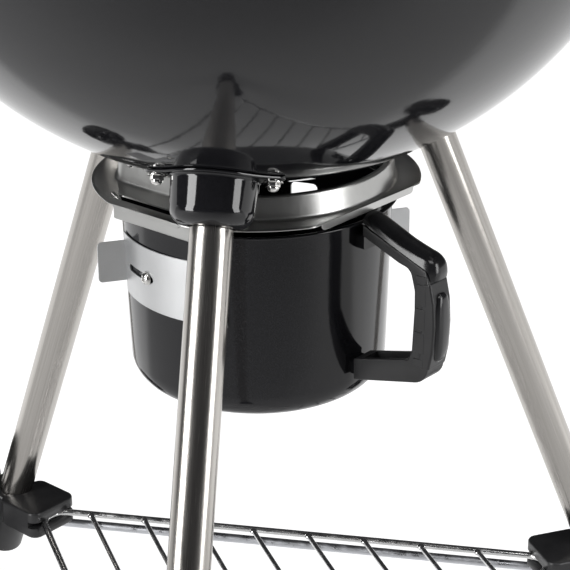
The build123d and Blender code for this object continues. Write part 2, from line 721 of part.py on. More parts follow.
# ---- bowl side handles ----
post_reach = 46.0
for name, azimuth in side_azimuths.items():
    wall_reach = sqrt(bowl_radius**2 - (bowl_centre - handle_bolt_z) ** 2)
    seat = facing(azimuth, wall_reach + 4.0, handle_bolt_z)
    with BuildPart() as side_bracket:
        with BuildLine() as strap:
            FilletPolyline((-handle_half, 0, 0), (-handle_half, 0, post_reach), (handle_half, 0, post_reach),
                           (handle_half, 0, 0), radius=14)
        strap_wire = seat.from_local_coords(strap.line)
        with BuildSketch(Plane(origin=strap_wire @ 0, z_dir=strap_wire % 0)):
            Circle(4)
        sweep(path=strap_wire)
        for side in (-1, 1):
            with BuildSketch(Plane(seat.location * Location((side * handle_half, 0, 0)))):
                Circle(10)
            extrude(amount=4)
    side_bracket.part.label = "side_handle_bar_" + name
    export_step(side_bracket.part, f"parts/side_handle_bar_{name}.step")
    with BuildPart() as side_grip:
        middle = Plane(origin=seat.origin + seat.z_dir * post_reach - seat.x_dir * 40, x_dir=(0, 0, 1),
                       z_dir=seat.x_dir)
        with BuildSketch(middle):
            Ellipse(15, 12)
            Circle(4.05, mode=Mode.SUBTRACT)
        extrude(amount=80)
    side_grip.part.label = "side_handle_grip_" + name
    export_step(side_grip.part, f"parts/side_handle_grip_{name}.step")

with BuildPart() as side_handle_bolts:
    for azimuth in side_azimuths.values():
        for side in (-1, 1):
            inner_wall = sqrt(bowl_inner**2 - (bowl_centre - handle_bolt_z) ** 2 - handle_half**2)
            hole = facing(azimuth, inner_wall, handle_bolt_z)
            hole = Plane(hole.location * Location((side * handle_half, 0, 0)))
            with BuildSketch(hole.offset(-4)):
                Circle(3)
            extrude(amount=wall_reach + 3.9 - inner_wall + 4)
            with BuildSketch(hole.offset(-4)):
                Circle(5)
            extrude(amount=-3)
side_handle_bolts.part.label = "side_handle_bolts"
export_step(side_handle_bolts.part, "parts/side_handle_bolts.step")

# ---- lid ----
lid_base = bowl_rim_z + bead + lid_gap
lid_radius = (lid_step_radius**2 + lid_height**2) / (2 * lid_height)
lid_centre = lid_base + lid_height - lid_radius
vent_place = on_sphere(-135, 150, lid_centre, lid_radius, down=False)
gauge_place = on_sphere(0, 172, lid_centre, lid_radius, down=False)
boss_radius = 45.0
boss_rise = 4.5
vent_holes = 4
vent_hole_radius = 9.0
vent_pitch = 24.0
gauge_boss = 30.0
gauge_rise = 3.0
handle_pitch = 50.0

with BuildPart() as lid:
    lid_span = degrees(asin(lid_step_radius / lid_radius))
    with BuildSketch(upright(0)):
        with BuildLine():
            outer = CenterArc((0, lid_centre), lid_radius, 90 - lid_span, lid_span)
            inner = CenterArc((0, lid_centre), lid_radius - lid_sheet, 90 - lid_span, lid_span)
            Line(outer @ 0, inner @ 0)
            Line(outer @ 1, inner @ 1)
        make_face()
        with Locations(((lid_step_radius + lid_brim) / 2 - 1, lid_base + lid_sheet / 2)):
            Rectangle(lid_brim - lid_step_radius, lid_sheet)
        with Locations((lid_brim - 1.6, lid_base - lid_skirt / 2 + 0.7)):
            Rectangle(lid_sheet, lid_skirt + 1.4)
        with Locations((lid_brim - 1.6, lid_base - lid_skirt)):
            Circle(1.6)
    revolve(axis=kettle_axis)
    for plane, size, rise in ((vent_place, boss_radius, boss_rise), (gauge_place, gauge_boss, gauge_rise)):
        with BuildSketch(plane.offset(-8)):
            Circle(size)
        extrude(amount=8 + rise, taper=6)
        with BuildSketch(plane.offset(-20)):
            Circle(size - lid_sheet)
        extrude(amount=20 + rise - lid_sheet, taper=4, mode=Mode.SUBTRACT)
    with BuildSketch(vent_place):
        with PolarLocations(vent_pitch, vent_holes):
            Circle(vent_hole_radius)
        Circle(2.6)
    extrude(amount=30, both=True, mode=Mode.SUBTRACT)
    with BuildSketch(gauge_place):
        Circle(4.1)
    extrude(amount=30, both=True, mode=Mode.SUBTRACT)
    with BuildSketch(level(lid_base)):
        with Locations((-handle_pitch, 0), (handle_pitch, 0)):
            Circle(bolt_hole)
    extrude(amount=300, mode=Mode.SUBTRACT)
lid.part.label = "lid"
export_step(lid.part, "parts/lid.step")

vent_top = vent_place.offset(boss_rise + 0.15)
with BuildPart() as lid_damper:
    with BuildSketch(vent_top):
        Circle(boss_radius - 6.5)
        with PolarLocations(vent_pitch, vent_holes):
            Circle(vent_hole_radius, mode=Mode.SUBTRACT)
        Circle(2.55, mode=Mode.SUBTRACT)
    extrude(amount=1.2)
    with Locations(vent_top * Location((boss_radius - 9, 0, 0.6), (0, 0, 0))):
        Box(8, 14, 1.2, align=(Align.MIN, Align.CENTER, Align.MIN))
    with Locations(vent_top * Location((boss_radius - 2.5, 0, 0.6), (0, 0, 0))):
        Box(1.5, 14, 13, align=(Align.MIN, Align.CENTER, Align.MIN))
lid_damper.part.label = "lid_damper"
export_step(lid_damper.part, "parts/lid_damper.step")

with BuildPart() as lid_damper_rivet:
    with BuildSketch(vent_place.offset(boss_rise - lid_sheet - 0.15)):
        Circle(2.5)
    extrude(amount=lid_sheet + 2.0)
    with BuildSketch(vent_top.offset(1.3)):
        Circle(5)
    extrude(amount=1.8, taper=30)
    with BuildSketch(vent_place.offset(boss_rise - lid_sheet - 0.15)):
        Circle(4.5)
    extrude(amount=-1.4)
lid_damper_rivet.part.label = "lid_damper_rivet"
export_step(lid_damper_rivet.part, "parts/lid_damper_rivet.step")

# ---- lid handle: two posts, a bar, and a heat plate between bar and lid ----
lid_top = lid_base + lid_height
post_height = 40.0
seat_z = lid_top - lid_radius + sqrt(lid_radius**2 - (handle_pitch - 9) ** 2) + 0.1

with BuildPart() as lid_handle_posts:
    for side in (-1, 1):
        with BuildSketch(level(seat_z) * Location((side * handle_pitch, 0, 0))):
            Circle(9)
        extrude(amount=lid_top + post_height - seat_z - 9, taper=3)
lid_handle_posts.part.label = "lid_handle_posts"
export_step(lid_handle_posts.part, "parts/lid_handle_posts.step")

with BuildPart() as lid_heat_plate:
    with BuildSketch(level(lid_top + 7)):
        SlotOverall(170, 60)
        with Locations((-handle_pitch, 0), (handle_pitch, 0)):
            Circle(9.2, mode=Mode.SUBTRACT)
    extrude(amount=1.4)
lid_heat_plate.part.label = "lid_heat_plate"
export_step(lid_heat_plate.part, "parts/lid_heat_plate.step")

with BuildPart() as lid_handle_bar:
    with BuildSketch(Plane(origin=(-80, kettle_y, lid_top + post_height), x_dir=(0, 1, 0), z_dir=(1, 0, 0))):
        Ellipse(14, 9)
    extrude(amount=160)
    fillet(edges(), 5)
    with BuildSketch(level(lid_top)):
        with Locations((-handle_pitch, 0), (handle_pitch, 0)):
            Circle(8.6)
    extrude(amount=post_height - 8.8, mode=Mode.SUBTRACT)
lid_handle_bar.part.label = "lid_handle_bar"
export_step(lid_handle_bar.part, "parts/lid_handle_bar.step")

with BuildPart() as lid_handle_bolts:
    for side in (-1, 1):
        lid_under = lid_centre + sqrt((lid_radius - lid_sheet) ** 2 - (handle_pitch + 8) ** 2) - 0.2
        with BuildSketch(level(lid_under) * Location((side * handle_pitch, 0, 0))):
            Circle(3)
        extrude(amount=seat_z - lid_under - 0.05)
        with BuildSketch(level(lid_under) * Location((side * handle_pitch, 0, 0))):
            Circle(7)
        extrude(amount=-3)
lid_handle_bolts.part.label = "lid_handle_bolts"
export_step(lid_handle_bolts.part, "parts/lid_handle_bolts.step")

# ---- lid thermometer ----
gauge_seat = gauge_place.offset(gauge_rise + 0.05)
case_radius = 25.0
case_depth = 9.0

with BuildPart() as thermometer_case:
    with BuildSketch(gauge_seat):
        Circle(case_radius)
    extrude(amount=case_depth)
    fillet(faces().sort_by_distance(gauge_seat.offset(case_depth).origin)[0].edges(), 1.2)
    with BuildSketch(gauge_seat.offset(2)):
        Circle(case_radius - 2.5)
    extrude(amount=20, mode=Mode.SUBTRACT)
    with BuildSketch(gauge_seat):
        Circle(4)
    extrude(amount=-48)
thermometer_case.part.label = "thermometer_case"
export_step(thermometer_case.part, "parts/thermometer_case.step")

with BuildPart() as thermometer_nut:
    with BuildSketch(gauge_place.offset(gauge_rise - lid_sheet - 0.1)):
        RegularPolygon(9, 6)
        Circle(4.03, mode=Mode.SUBTRACT)
    extrude(amount=-5)
thermometer_nut.part.label = "thermometer_nut"
export_step(thermometer_nut.part, "parts/thermometer_nut.step")

with BuildPart() as thermometer_dial:
    with BuildSketch(gauge_seat.offset(2.05)):
        Circle(case_radius - 2.7)
        Circle(1.2, mode=Mode.SUBTRACT)
    extrude(amount=0.8)
thermometer_dial.part.label = "thermometer_dial"
export_step(thermometer_dial.part, "parts/thermometer_dial.step")

with BuildPart() as thermometer_needle:
    with BuildSketch(gauge_seat.offset(3.6)):
        Circle(2.4)
        with BuildLine():
            Polyline((6.4, 4.6), (4.6, 6.4), (-12.8, -12.2), (-12.2, -12.8), close=True)
        make_face()
    extrude(amount=0.6)
    with BuildSketch(gauge_seat.offset(2.1)):
        Circle(1.1)
    extrude(amount=2)
thermometer_needle.part.label = "thermometer_needle"
export_step(thermometer_needle.part, "parts/thermometer_needle.step")

with BuildPart() as thermometer_glass:
    with BuildSketch(gauge_seat.offset(6.2)):
        Circle(case_radius - 2.6)
    extrude(amount=1.6)
thermometer_glass.part.label = "thermometer_glass"
export_step(thermometer_glass.part, "parts/thermometer_glass.step")

print("kettle_y", round(kettle_y, 2), "axle_y", round(axle_y, 2), "lid_base", round(lid_base, 2),
      "lid_top", round(lid_top, 2))
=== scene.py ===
import bpy, bmesh
from math import asin, atan2, copysign, cos, degrees, exp, log, pi, radians, sin, sqrt, tan
from mathutils import Matrix, Vector


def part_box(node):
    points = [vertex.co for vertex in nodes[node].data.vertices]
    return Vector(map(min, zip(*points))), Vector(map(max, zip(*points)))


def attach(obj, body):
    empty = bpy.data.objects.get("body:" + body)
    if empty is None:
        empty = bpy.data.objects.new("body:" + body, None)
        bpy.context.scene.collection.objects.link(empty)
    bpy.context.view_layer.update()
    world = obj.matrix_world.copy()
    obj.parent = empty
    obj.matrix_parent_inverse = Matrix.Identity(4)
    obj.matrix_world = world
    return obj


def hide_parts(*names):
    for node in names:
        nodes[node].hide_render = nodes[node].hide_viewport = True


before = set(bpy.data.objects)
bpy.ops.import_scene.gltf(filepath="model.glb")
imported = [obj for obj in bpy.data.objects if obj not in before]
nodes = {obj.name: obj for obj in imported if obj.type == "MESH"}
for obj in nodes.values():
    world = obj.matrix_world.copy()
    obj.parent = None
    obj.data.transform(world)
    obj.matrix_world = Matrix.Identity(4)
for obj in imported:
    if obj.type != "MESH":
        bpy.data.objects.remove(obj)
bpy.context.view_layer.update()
mm = 0.001

# Kettle axis, ring plane and bowl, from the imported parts
potLow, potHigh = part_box("ash_pot")
axisY = (potLow.y + potHigh.y) / 2
ringZ = potHigh.z + 11.5 * mm
bowlBottom = ringZ + 9.3 * mm
slideTurn = 60.0                       # the pot slides out this way, in degrees from the front towards +X
legTurns = {"front": 0.0, "rear_right": 120.0, "rear_left": -120.0}


# Directions and places
def outward(turn):
    return Vector((sin(radians(turn)), -cos(radians(turn)), 0))


def sideways(turn):
    return Vector((cos(radians(turn)), sin(radians(turn)), 0))


def spot(turn, radius, z):
    return Vector((0, axisY, z)) + outward(turn) * radius


def placeOf(origin, xDir, zDir):
    zAxis = zDir.normalized()
    xAxis = (xDir - zAxis * xDir.dot(zAxis)).normalized()
    yAxis = zAxis.cross(xAxis)
    turned = Matrix((xAxis, yAxis, zAxis)).transposed().to_4x4()
    return Matrix.Translation(origin) @ turned


def moved(by):
    return Matrix.Translation(by)


def levelPlace(z, turn=90.0):
    return placeOf(Vector((0, axisY, z)), outward(turn), Vector((0, 0, 1)))


def facingPlace(turn, radius, z):      # x sideways, y up, z outward
    return placeOf(spot(turn, radius, z), sideways(turn), outward(turn))


def uprightPlace(turn):                # x is the radius, y is the height
    return placeOf(Vector((0, axisY, 0)), outward(turn), -sideways(turn))


def spherePlace(turn, radius, centreZ, shell, side):   # z is the sphere's normal; side -1 below, 1 above
    tilt = asin(radius / shell)
    normal = outward(turn) * sin(tilt) + Vector((0, 0, side * cos(tilt)))
    return placeOf(spot(turn, radius, centreZ + side * shell * cos(tilt)), sideways(turn), normal)


# Mesh helpers
def pieceFrom(name, points, faces, place=None, smooth=True):
    mesh = bpy.data.meshes.new(name)
    mesh.from_pydata([tuple(p) for p in points], [], faces)
    mesh.validate()
    if place is not None:
        mesh.transform(place)
    work = bmesh.new()
    work.from_mesh(mesh)
    bmesh.ops.recalc_face_normals(work, faces=work.faces)
    work.to_mesh(mesh)
    work.free()
    if smooth:
        mesh.polygons.foreach_set("use_smooth", [True] * len(mesh.polygons))
    piece = bpy.data.objects.new(name, mesh)
    bpy.context.scene.collection.objects.link(piece)
    return piece


def settle(piece):                     # turns the modifiers into plain mesh
    bpy.context.view_layer.update()
    seen = piece.evaluated_get(bpy.context.evaluated_depsgraph_get())
    mesh = bpy.data.meshes.new_from_object(seen)
    piece.modifiers.clear()
    piece.data = mesh
    return piece


def edgeSmooth(piece, degrees=35.0):
    piece.data.polygons.foreach_set("use_smooth", [True] * len(piece.data.polygons))
    piece.data.set_sharp_from_angle(angle=radians(degrees))
    return piece


def bevelled(piece, width, segments=3, degrees=30.0):
    mod = piece.modifiers.new("edge", "BEVEL")
    mod.width = width
    mod.segments = segments
    mod.limit_method = "ANGLE"
    mod.angle_limit = radians(degrees)
    mod.harden_normals = False
    settle(piece)
    weighted = piece.modifiers.new("normals", "WEIGHTED_NORMAL")
    weighted.keep_sharp = True
    piece.data.polygons.foreach_set("use_smooth", [True] * len(piece.data.polygons))
    return settle(piece)


def cutBy(piece, cutter):
    mod = piece.modifiers.new("cut", "BOOLEAN")
    mod.operation = "DIFFERENCE"
    mod.solver = "EXACT"
    mod.object = cutter
    settle(piece)
    bpy.data.objects.remove(cutter)
    return piece


def joined(name, parts):
    mesh = bpy.data.meshes.new(name)
    work = bmesh.new()
    for part in parts:
        work.from_mesh(part.data)
    work.to_mesh(mesh)
    work.free()
    for part in parts:
        bpy.data.objects.remove(part)
    piece = bpy.data.objects.new(name, mesh)
    bpy.context.scene.collection.objects.link(piece)
    return piece


# corners: (x, y, radius); gives the same line with its corners rounded
def roundedPath(corners, steps=6, closed=False):
    count = len(corners)
    path = []
    for i, (x, y, radius) in enumerate(corners):
        here = Vector((x, y))
        if radius <= 0 or (not closed and i in (0, count - 1)):
            path.append(here)
            continue
        before, after = corners[i - 1], corners[(i + 1) % count]
        a, b = (Vector(before[:2]) - here), (Vector(after[:2]) - here)
        room = min(a.length * radius / (radius + max(before[2], 0)),
            b.length * radius / (radius + max(after[2], 0))) * 0.98
        a.normalize()
        b.normalize()
        half = a.angle(b) / 2
        reach = min(radius / tan(half), room)
        radius = reach * tan(half)
        centre = here + (a + b).normalized() * (radius / sin(half))
        start, end = here + a * reach - centre, here + b * reach - centre
        sweep = start.angle_signed(end)
        for k in range(steps + 1):
            turn = -sweep * k / steps
            path.append(centre + Vector((start.x * cos(turn) - start.y * sin(turn),
                start.x * sin(turn) + start.y * cos(turn))))
    return path

def outlineMm(corners, steps=6, closed=False):   # the same, given in millimetres
    return roundedPath([(x * mm, y * mm, radius * mm) for x, y, radius in corners], steps, closed)


def arcPath(centre, radius, fromDeg, toDeg, steps):
    return [Vector((centre[0] + radius * cos(radians(fromDeg + (toDeg - fromDeg) * k / steps)),
        centre[1] + radius * sin(radians(fromDeg + (toDeg - fromDeg) * k / steps))))
        for k in range(steps + 1)]


# Spins (radius, height) points about the place's z
def lathe(name, profile, place=None, count=192):
    points, faces, rows = [], [], []
    for r, z in profile:
        if r < 1e-6:
            rows.append([len(points)])
            points.append((0, 0, z))
        else:
            rows.append(list(range(len(points), len(points) + count)))
            points += [(r * cos(2 * pi * k / count), r * sin(2 * pi * k / count), z) for k in range(count)]
    for a, b in zip(rows, rows[1:] + rows[:1]):
        if len(a) == 1 and len(b) == 1:
            continue
        for k in range(count):
            n = (k + 1) % count
            if len(a) == 1:
                faces.append((a[0], b[k], b[n]))
            elif len(b) == 1:
                faces.append((a[k], b[0], a[n]))
            else:
                faces.append((a[k], b[k], b[n], a[n]))
    return pieceFrom(name, points, faces, place if place is not None else Matrix.Identity(4))


# Closed outline in the place's xy, from height low to high, with rounded edges
def slab(name, outline, low, high, place, bevel=0.0, segments=3):
    count = len(outline)
    points = [(p[0], p[1], low) for p in outline] + [(p[0], p[1], high) for p in outline]
    faces = [tuple(reversed(range(count))), tuple(range(count, 2 * count))]
    faces += [(k, (k + 1) % count, (k + 1) % count + count, k + count) for k in range(count)]
    piece = pieceFrom(name, points, faces, place, smooth=False)
    return bevelled(piece, bevel, segments) if bevel > 0 else edgeSmooth(piece)


# Quads between loops that all have the same number of points
def skinLoops(name, loops, place, closeEnds=False, wrap=False):
    count = len(loops[0])
    points = [p for loop in loops for p in loop]
    faces = []
    pairs = len(loops) if wrap else len(loops) - 1
    for i in range(pairs):
        a, b = i * count, ((i + 1) % len(loops)) * count
        faces += [(a + k, a + (k + 1) % count, b + (k + 1) % count, b + k) for k in range(count)]
    if closeEnds:
        faces += [tuple(reversed(range(count))), tuple(range((len(loops) - 1) * count,
            len(loops) * count))]
    return pieceFrom(name, points, faces, place)


def hexagon(radius):
    return [(radius * cos(radians(60 * k)), radius * sin(radians(60 * k))) for k in range(6)]


def drill(radius, place, count=48):    # a cutter that goes well past both faces of a sheet
    return lathe("drill", [(0, -0.02), (radius, -0.02), (radius, 0.02), (0, 0.02)], place, count)


def roundedBox(name, size, place, bevel, segments=3):
    x, y, z = size[0] / 2, size[1] / 2, size[2] / 2
    return slab(name, [(-x, -y), (x, -y), (x, y), (-x, y)], -z, z, place, bevel, segments)


def fitted(piece, body, slotName, material, *stoodFor):
    piece.data.materials.clear()
    piece.data.materials.append(material)
    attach(piece, body)
    if stoodFor:
        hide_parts(*stoodFor)
    return piece


# Materials
def newMaterial(name, colour, metallic, roughness):
    mat = bpy.data.materials.new(name)
    mat.use_nodes = True
    shader = mat.node_tree.nodes["Principled BSDF"]
    shader.inputs["Base Color"].default_value = (*colour, 1)
    shader.inputs["Metallic"].default_value = metallic
    shader.inputs["Roughness"].default_value = roughness
    return mat, mat.node_tree.nodes, mat.node_tree.links, shader


def noiseOn(nodeSet, links, scale, detail=3.0, stretch=(1, 1, 1), source="Object"):
    coords = nodeSet.new("ShaderNodeTexCoord")
    mapping = nodeSet.new("ShaderNodeMapping")
    mapping.inputs["Scale"].default_value = stretch
    noise = nodeSet.new("ShaderNodeTexNoise")
    noise.inputs["Scale"].default_value = scale
    noise.inputs["Detail"].default_value = detail
    links.new(coords.outputs[source], mapping.inputs["Vector"])
    links.new(mapping.outputs["Vector"], noise.inputs["Vector"])
    return noise.outputs["Fac"]


def rangeOf(nodeSet, links, value, low, high):
    node = nodeSet.new("ShaderNodeMapRange")
    node.inputs["From Min"].default_value = 0.3
    node.inputs["From Max"].default_value = 0.7
    node.inputs["To Min"].default_value = low
    node.inputs["To Max"].default_value = high
    links.new(value, node.inputs["Value"])
    return node.outputs["Result"]


def blendColours(nodeSet, links, value, low, high):
    ramp = nodeSet.new("ShaderNodeValToRGB")
    ramp.color_ramp.elements[0].position = 0.3
    ramp.color_ramp.elements[1].position = 0.7
    ramp.color_ramp.elements[0].color = (*low, 1)
    ramp.color_ramp.elements[1].color = (*high, 1)
    links.new(value, ramp.inputs["Fac"])
    return ramp.outputs["Color"]


def bumpFrom(nodeSet, links, shader, value, strength, distance):
    bump = nodeSet.new("ShaderNodeBump")
    bump.inputs["Strength"].default_value = strength
    bump.inputs["Distance"].default_value = distance
    links.new(value, bump.inputs["Height"])
    links.new(bump.outputs["Normal"], shader.inputs["Normal"])


enamelLook = {"colour": (0.006, 0.006, 0.007), "fleck": (0.012, 0.012, 0.014), "gloss": 0.07,
    "waviness": 0.05}


def makeEnamel(name="porcelainEnamel", gloss=None):
    look = enamelLook
    gloss = gloss if gloss is not None else look["gloss"]
    mat, n, l, s = newMaterial(name, look["colour"], 0.0, gloss)
    s.inputs["IOR"].default_value = 1.52
    flecks = noiseOn(n, l, 900.0, 2.0)
    l.new(blendColours(n, l, flecks, look["colour"], look["fleck"]), s.inputs["Base Color"])
    haze = noiseOn(n, l, 35.0, 4.0)
    l.new(rangeOf(n, l, haze, gloss * 0.8, gloss * 1.3), s.inputs["Roughness"])
    peel = noiseOn(n, l, 160.0, 2.0)
    bumpFrom(n, l, s, peel, look["waviness"], 0.0006)
    return mat


# Brushed along the tube: fine streaks follow the length, from the tube's own unwrapped length and girth
def makeBrushedTube(name, colour, dark, rough):
    mat, n, l, s = newMaterial(name, colour, 1.0, rough)
    fine = noiseOn(n, l, 1.0, 4.0, (5200.0, 22.0, 1.0), "UV")
    broad = noiseOn(n, l, 1.0, 3.0, (900.0, 5.0, 1.0), "UV")
    l.new(blendColours(n, l, broad, dark, colour), s.inputs["Base Color"])
    l.new(rangeOf(n, l, fine, rough * 0.75, rough * 1.35), s.inputs["Roughness"])
    bumpFrom(n, l, s, fine, 0.22, 0.00004)
    s.inputs["Anisotropic"].default_value = 0.35
    return mat


# Rolled or pressed sheet with a faint grain along one direction
def makeSheet(name, colour, dark, rough, stretch, strength=0.12):
    mat, n, l, s = newMaterial(name, colour, 1.0, rough)
    grain = noiseOn(n, l, 1.0, 4.0, stretch)
    cloud = noiseOn(n, l, 28.0, 3.0)
    l.new(blendColours(n, l, cloud, dark, colour), s.inputs["Base Color"])
    l.new(rangeOf(n, l, grain, rough * 0.93, rough * 1.1), s.inputs["Roughness"])
    bumpFrom(n, l, s, grain, strength, 0.00005)
    return mat


def makePlate(name, colour, rough):
    mat, n, l, s = newMaterial(name, colour, 1.0, rough)
    smudge = noiseOn(n, l, 120.0, 3.0)
    l.new(rangeOf(n, l, smudge, rough * 0.6, rough * 1.8), s.inputs["Roughness"])
    tone = noiseOn(n, l, 60.0, 2.0)
    l.new(blendColours(n, l, tone, tuple(c * 0.86 for c in colour), colour), s.inputs["Base Color"])
    bumpFrom(n, l, s, smudge, 0.08, 0.00008)
    return mat


def makePlastic(name, colour, rough, grainSize=1500.0, grain=0.25):
    mat, n, l, s = newMaterial(name, colour, 0.0, rough)
    s.inputs["IOR"].default_value = 1.5
    spark = noiseOn(n, l, grainSize, 2.0)
    cloud = noiseOn(n, l, 55.0, 3.0)
    l.new(blendColours(n, l, cloud, tuple(c * 0.8 for c in colour), tuple(c * 1.25 for c in colour)),
        s.inputs["Base Color"])
    l.new(rangeOf(n, l, spark, rough * 0.85, rough * 1.2), s.inputs["Roughness"])
    bumpFrom(n, l, s, spark, grain, 0.00008)
    return mat


enamel = makeEnamel()
potEnamel = makeEnamel("potEnamel", 0.10)
potEnamel.node_tree.nodes["Principled BSDF"].inputs["Specular IOR Level"].default_value = 0.36
legSteel = makeBrushedTube("brushedLegSteel", (0.50, 0.48, 0.455), (0.42, 0.40, 0.375), 0.21)
ringSteel = makeSheet("satinRingSteel", (0.50, 0.50, 0.49), (0.43, 0.43, 0.42), 0.30, (420.0, 420.0, 8.0),
    0.02)
bandMetal = makeSheet("satinBandAluminium", (0.60, 0.605, 0.61), (0.56, 0.565, 0.57), 0.42,
    (700.0, 700.0, 60.0), 0.08)
brightPlate = makePlate("brightNickel", (0.82, 0.81, 0.79), 0.09)
zincPlate = makePlate("zincPlate", (0.62, 0.63, 0.66), 0.32)
gratePlate = makePlate("platedWire", (0.72, 0.72, 0.72), 0.18)
coalSteel = makeSheet("heatDarkSteel", (0.20, 0.18, 0.17), (0.10, 0.09, 0.085), 0.52, (90.0, 500.0, 500.0),
    0.3)
nylon = makePlastic("blackNylon", (0.016, 0.016, 0.017), 0.36)
glossNylon = makePlastic("glossBlackNylon", (0.010, 0.010, 0.011), 0.20, 700.0, 0.08)
rubber = makePlastic("tyreRubber", (0.022, 0.022, 0.022), 0.62, 1100.0, 0.4)
print("materials ready")

# Bowl
bowlShape = {"radius": 292.7 * mm, "sheet": 1.6 * mm, "rim": 285.0 * mm, "opening": 65.0 * mm,
    "bead": 3.2 * mm}
bowlCentre = bowlBottom + bowlShape["radius"]
bowlRimZ = bowlCentre - sqrt(bowlShape["radius"] ** 2 - bowlShape["rim"] ** 2)


def makeBowl(d):
    low = -90 + degrees(asin(d["opening"] / d["radius"]))
    high = -90 + degrees(asin(d["rim"] / d["radius"]))
    outer = arcPath((0, bowlCentre), d["radius"], low, high, 90)
    inner = arcPath((0, bowlCentre), d["radius"] - d["sheet"], high, low, 90)
    beadCentre = (d["rim"] + 0.6 * mm, bowlRimZ)
    beadRoll = arcPath(beadCentre, d["bead"], -62, 205, 18)
    lipCentre = (d["opening"] + 1 * mm, bowlCentre - sqrt(d["radius"] ** 2 - d["opening"] ** 2) + 0.9 * mm)
    lipRoll = arcPath(lipCentre, 1.6 * mm, 80, 300, 12)
    return lathe("enamel_bowl", outer[2:-2] + beadRoll + inner[2:-2] + lipRoll, moved((0, axisY, 0)), 288)


fitted(makeBowl(bowlShape), "root", "black_enamel", enamel, "bowl")
print("bowl ready")

# Ring under the bowl
ringShape = {"radius": 123.0 * mm, "sideChord": 117.4 * mm, "frontChord": 107.5 * mm, "sheet": 1.2 * mm,
    "collar": 104.0 * mm, "collarFlat": 81.0 * mm, "collarHeight": 18.0 * mm, "draft": 1.9 * mm,
    "fold": 2.6 * mm, "slotInner": 100.0 * mm, "slotOuter": 108.0 * mm, "slotHalf": 41.0 * mm,
    "railDepth": 15.0 * mm, "lip": 5.0 * mm, "count": 360}


def softLeast(values, softness):
    low = min(values)
    return low - softness * log(sum(exp(-(v - low) / softness) for v in values))


def collarLoop(d, offset, z):
    loop = []
    for k in range(d["count"]):
        phi = 2 * pi * k / d["count"]
        flat = (d["collarFlat"] + offset) / max(abs(sin(phi)), 1e-4)
        r = softLeast((d["collar"] + offset, flat), 1.6 * mm)
        loop.append(Vector((r * cos(phi), r * sin(phi), z)))
    return loop


def flangeLoop(d, offset, z):
    loop = []
    for k in range(d["count"]):
        phi = 2 * pi * k / d["count"]
        side = (d["sideChord"] + offset) / max(abs(sin(phi)), 1e-4)
        front = (d["frontChord"] + offset) / max(cos(phi), 1e-4)
        r = softLeast((d["radius"] + offset, side, front), 0.5 * mm)
        loop.append(Vector((r * cos(phi), r * sin(phi), z)))
    return loop


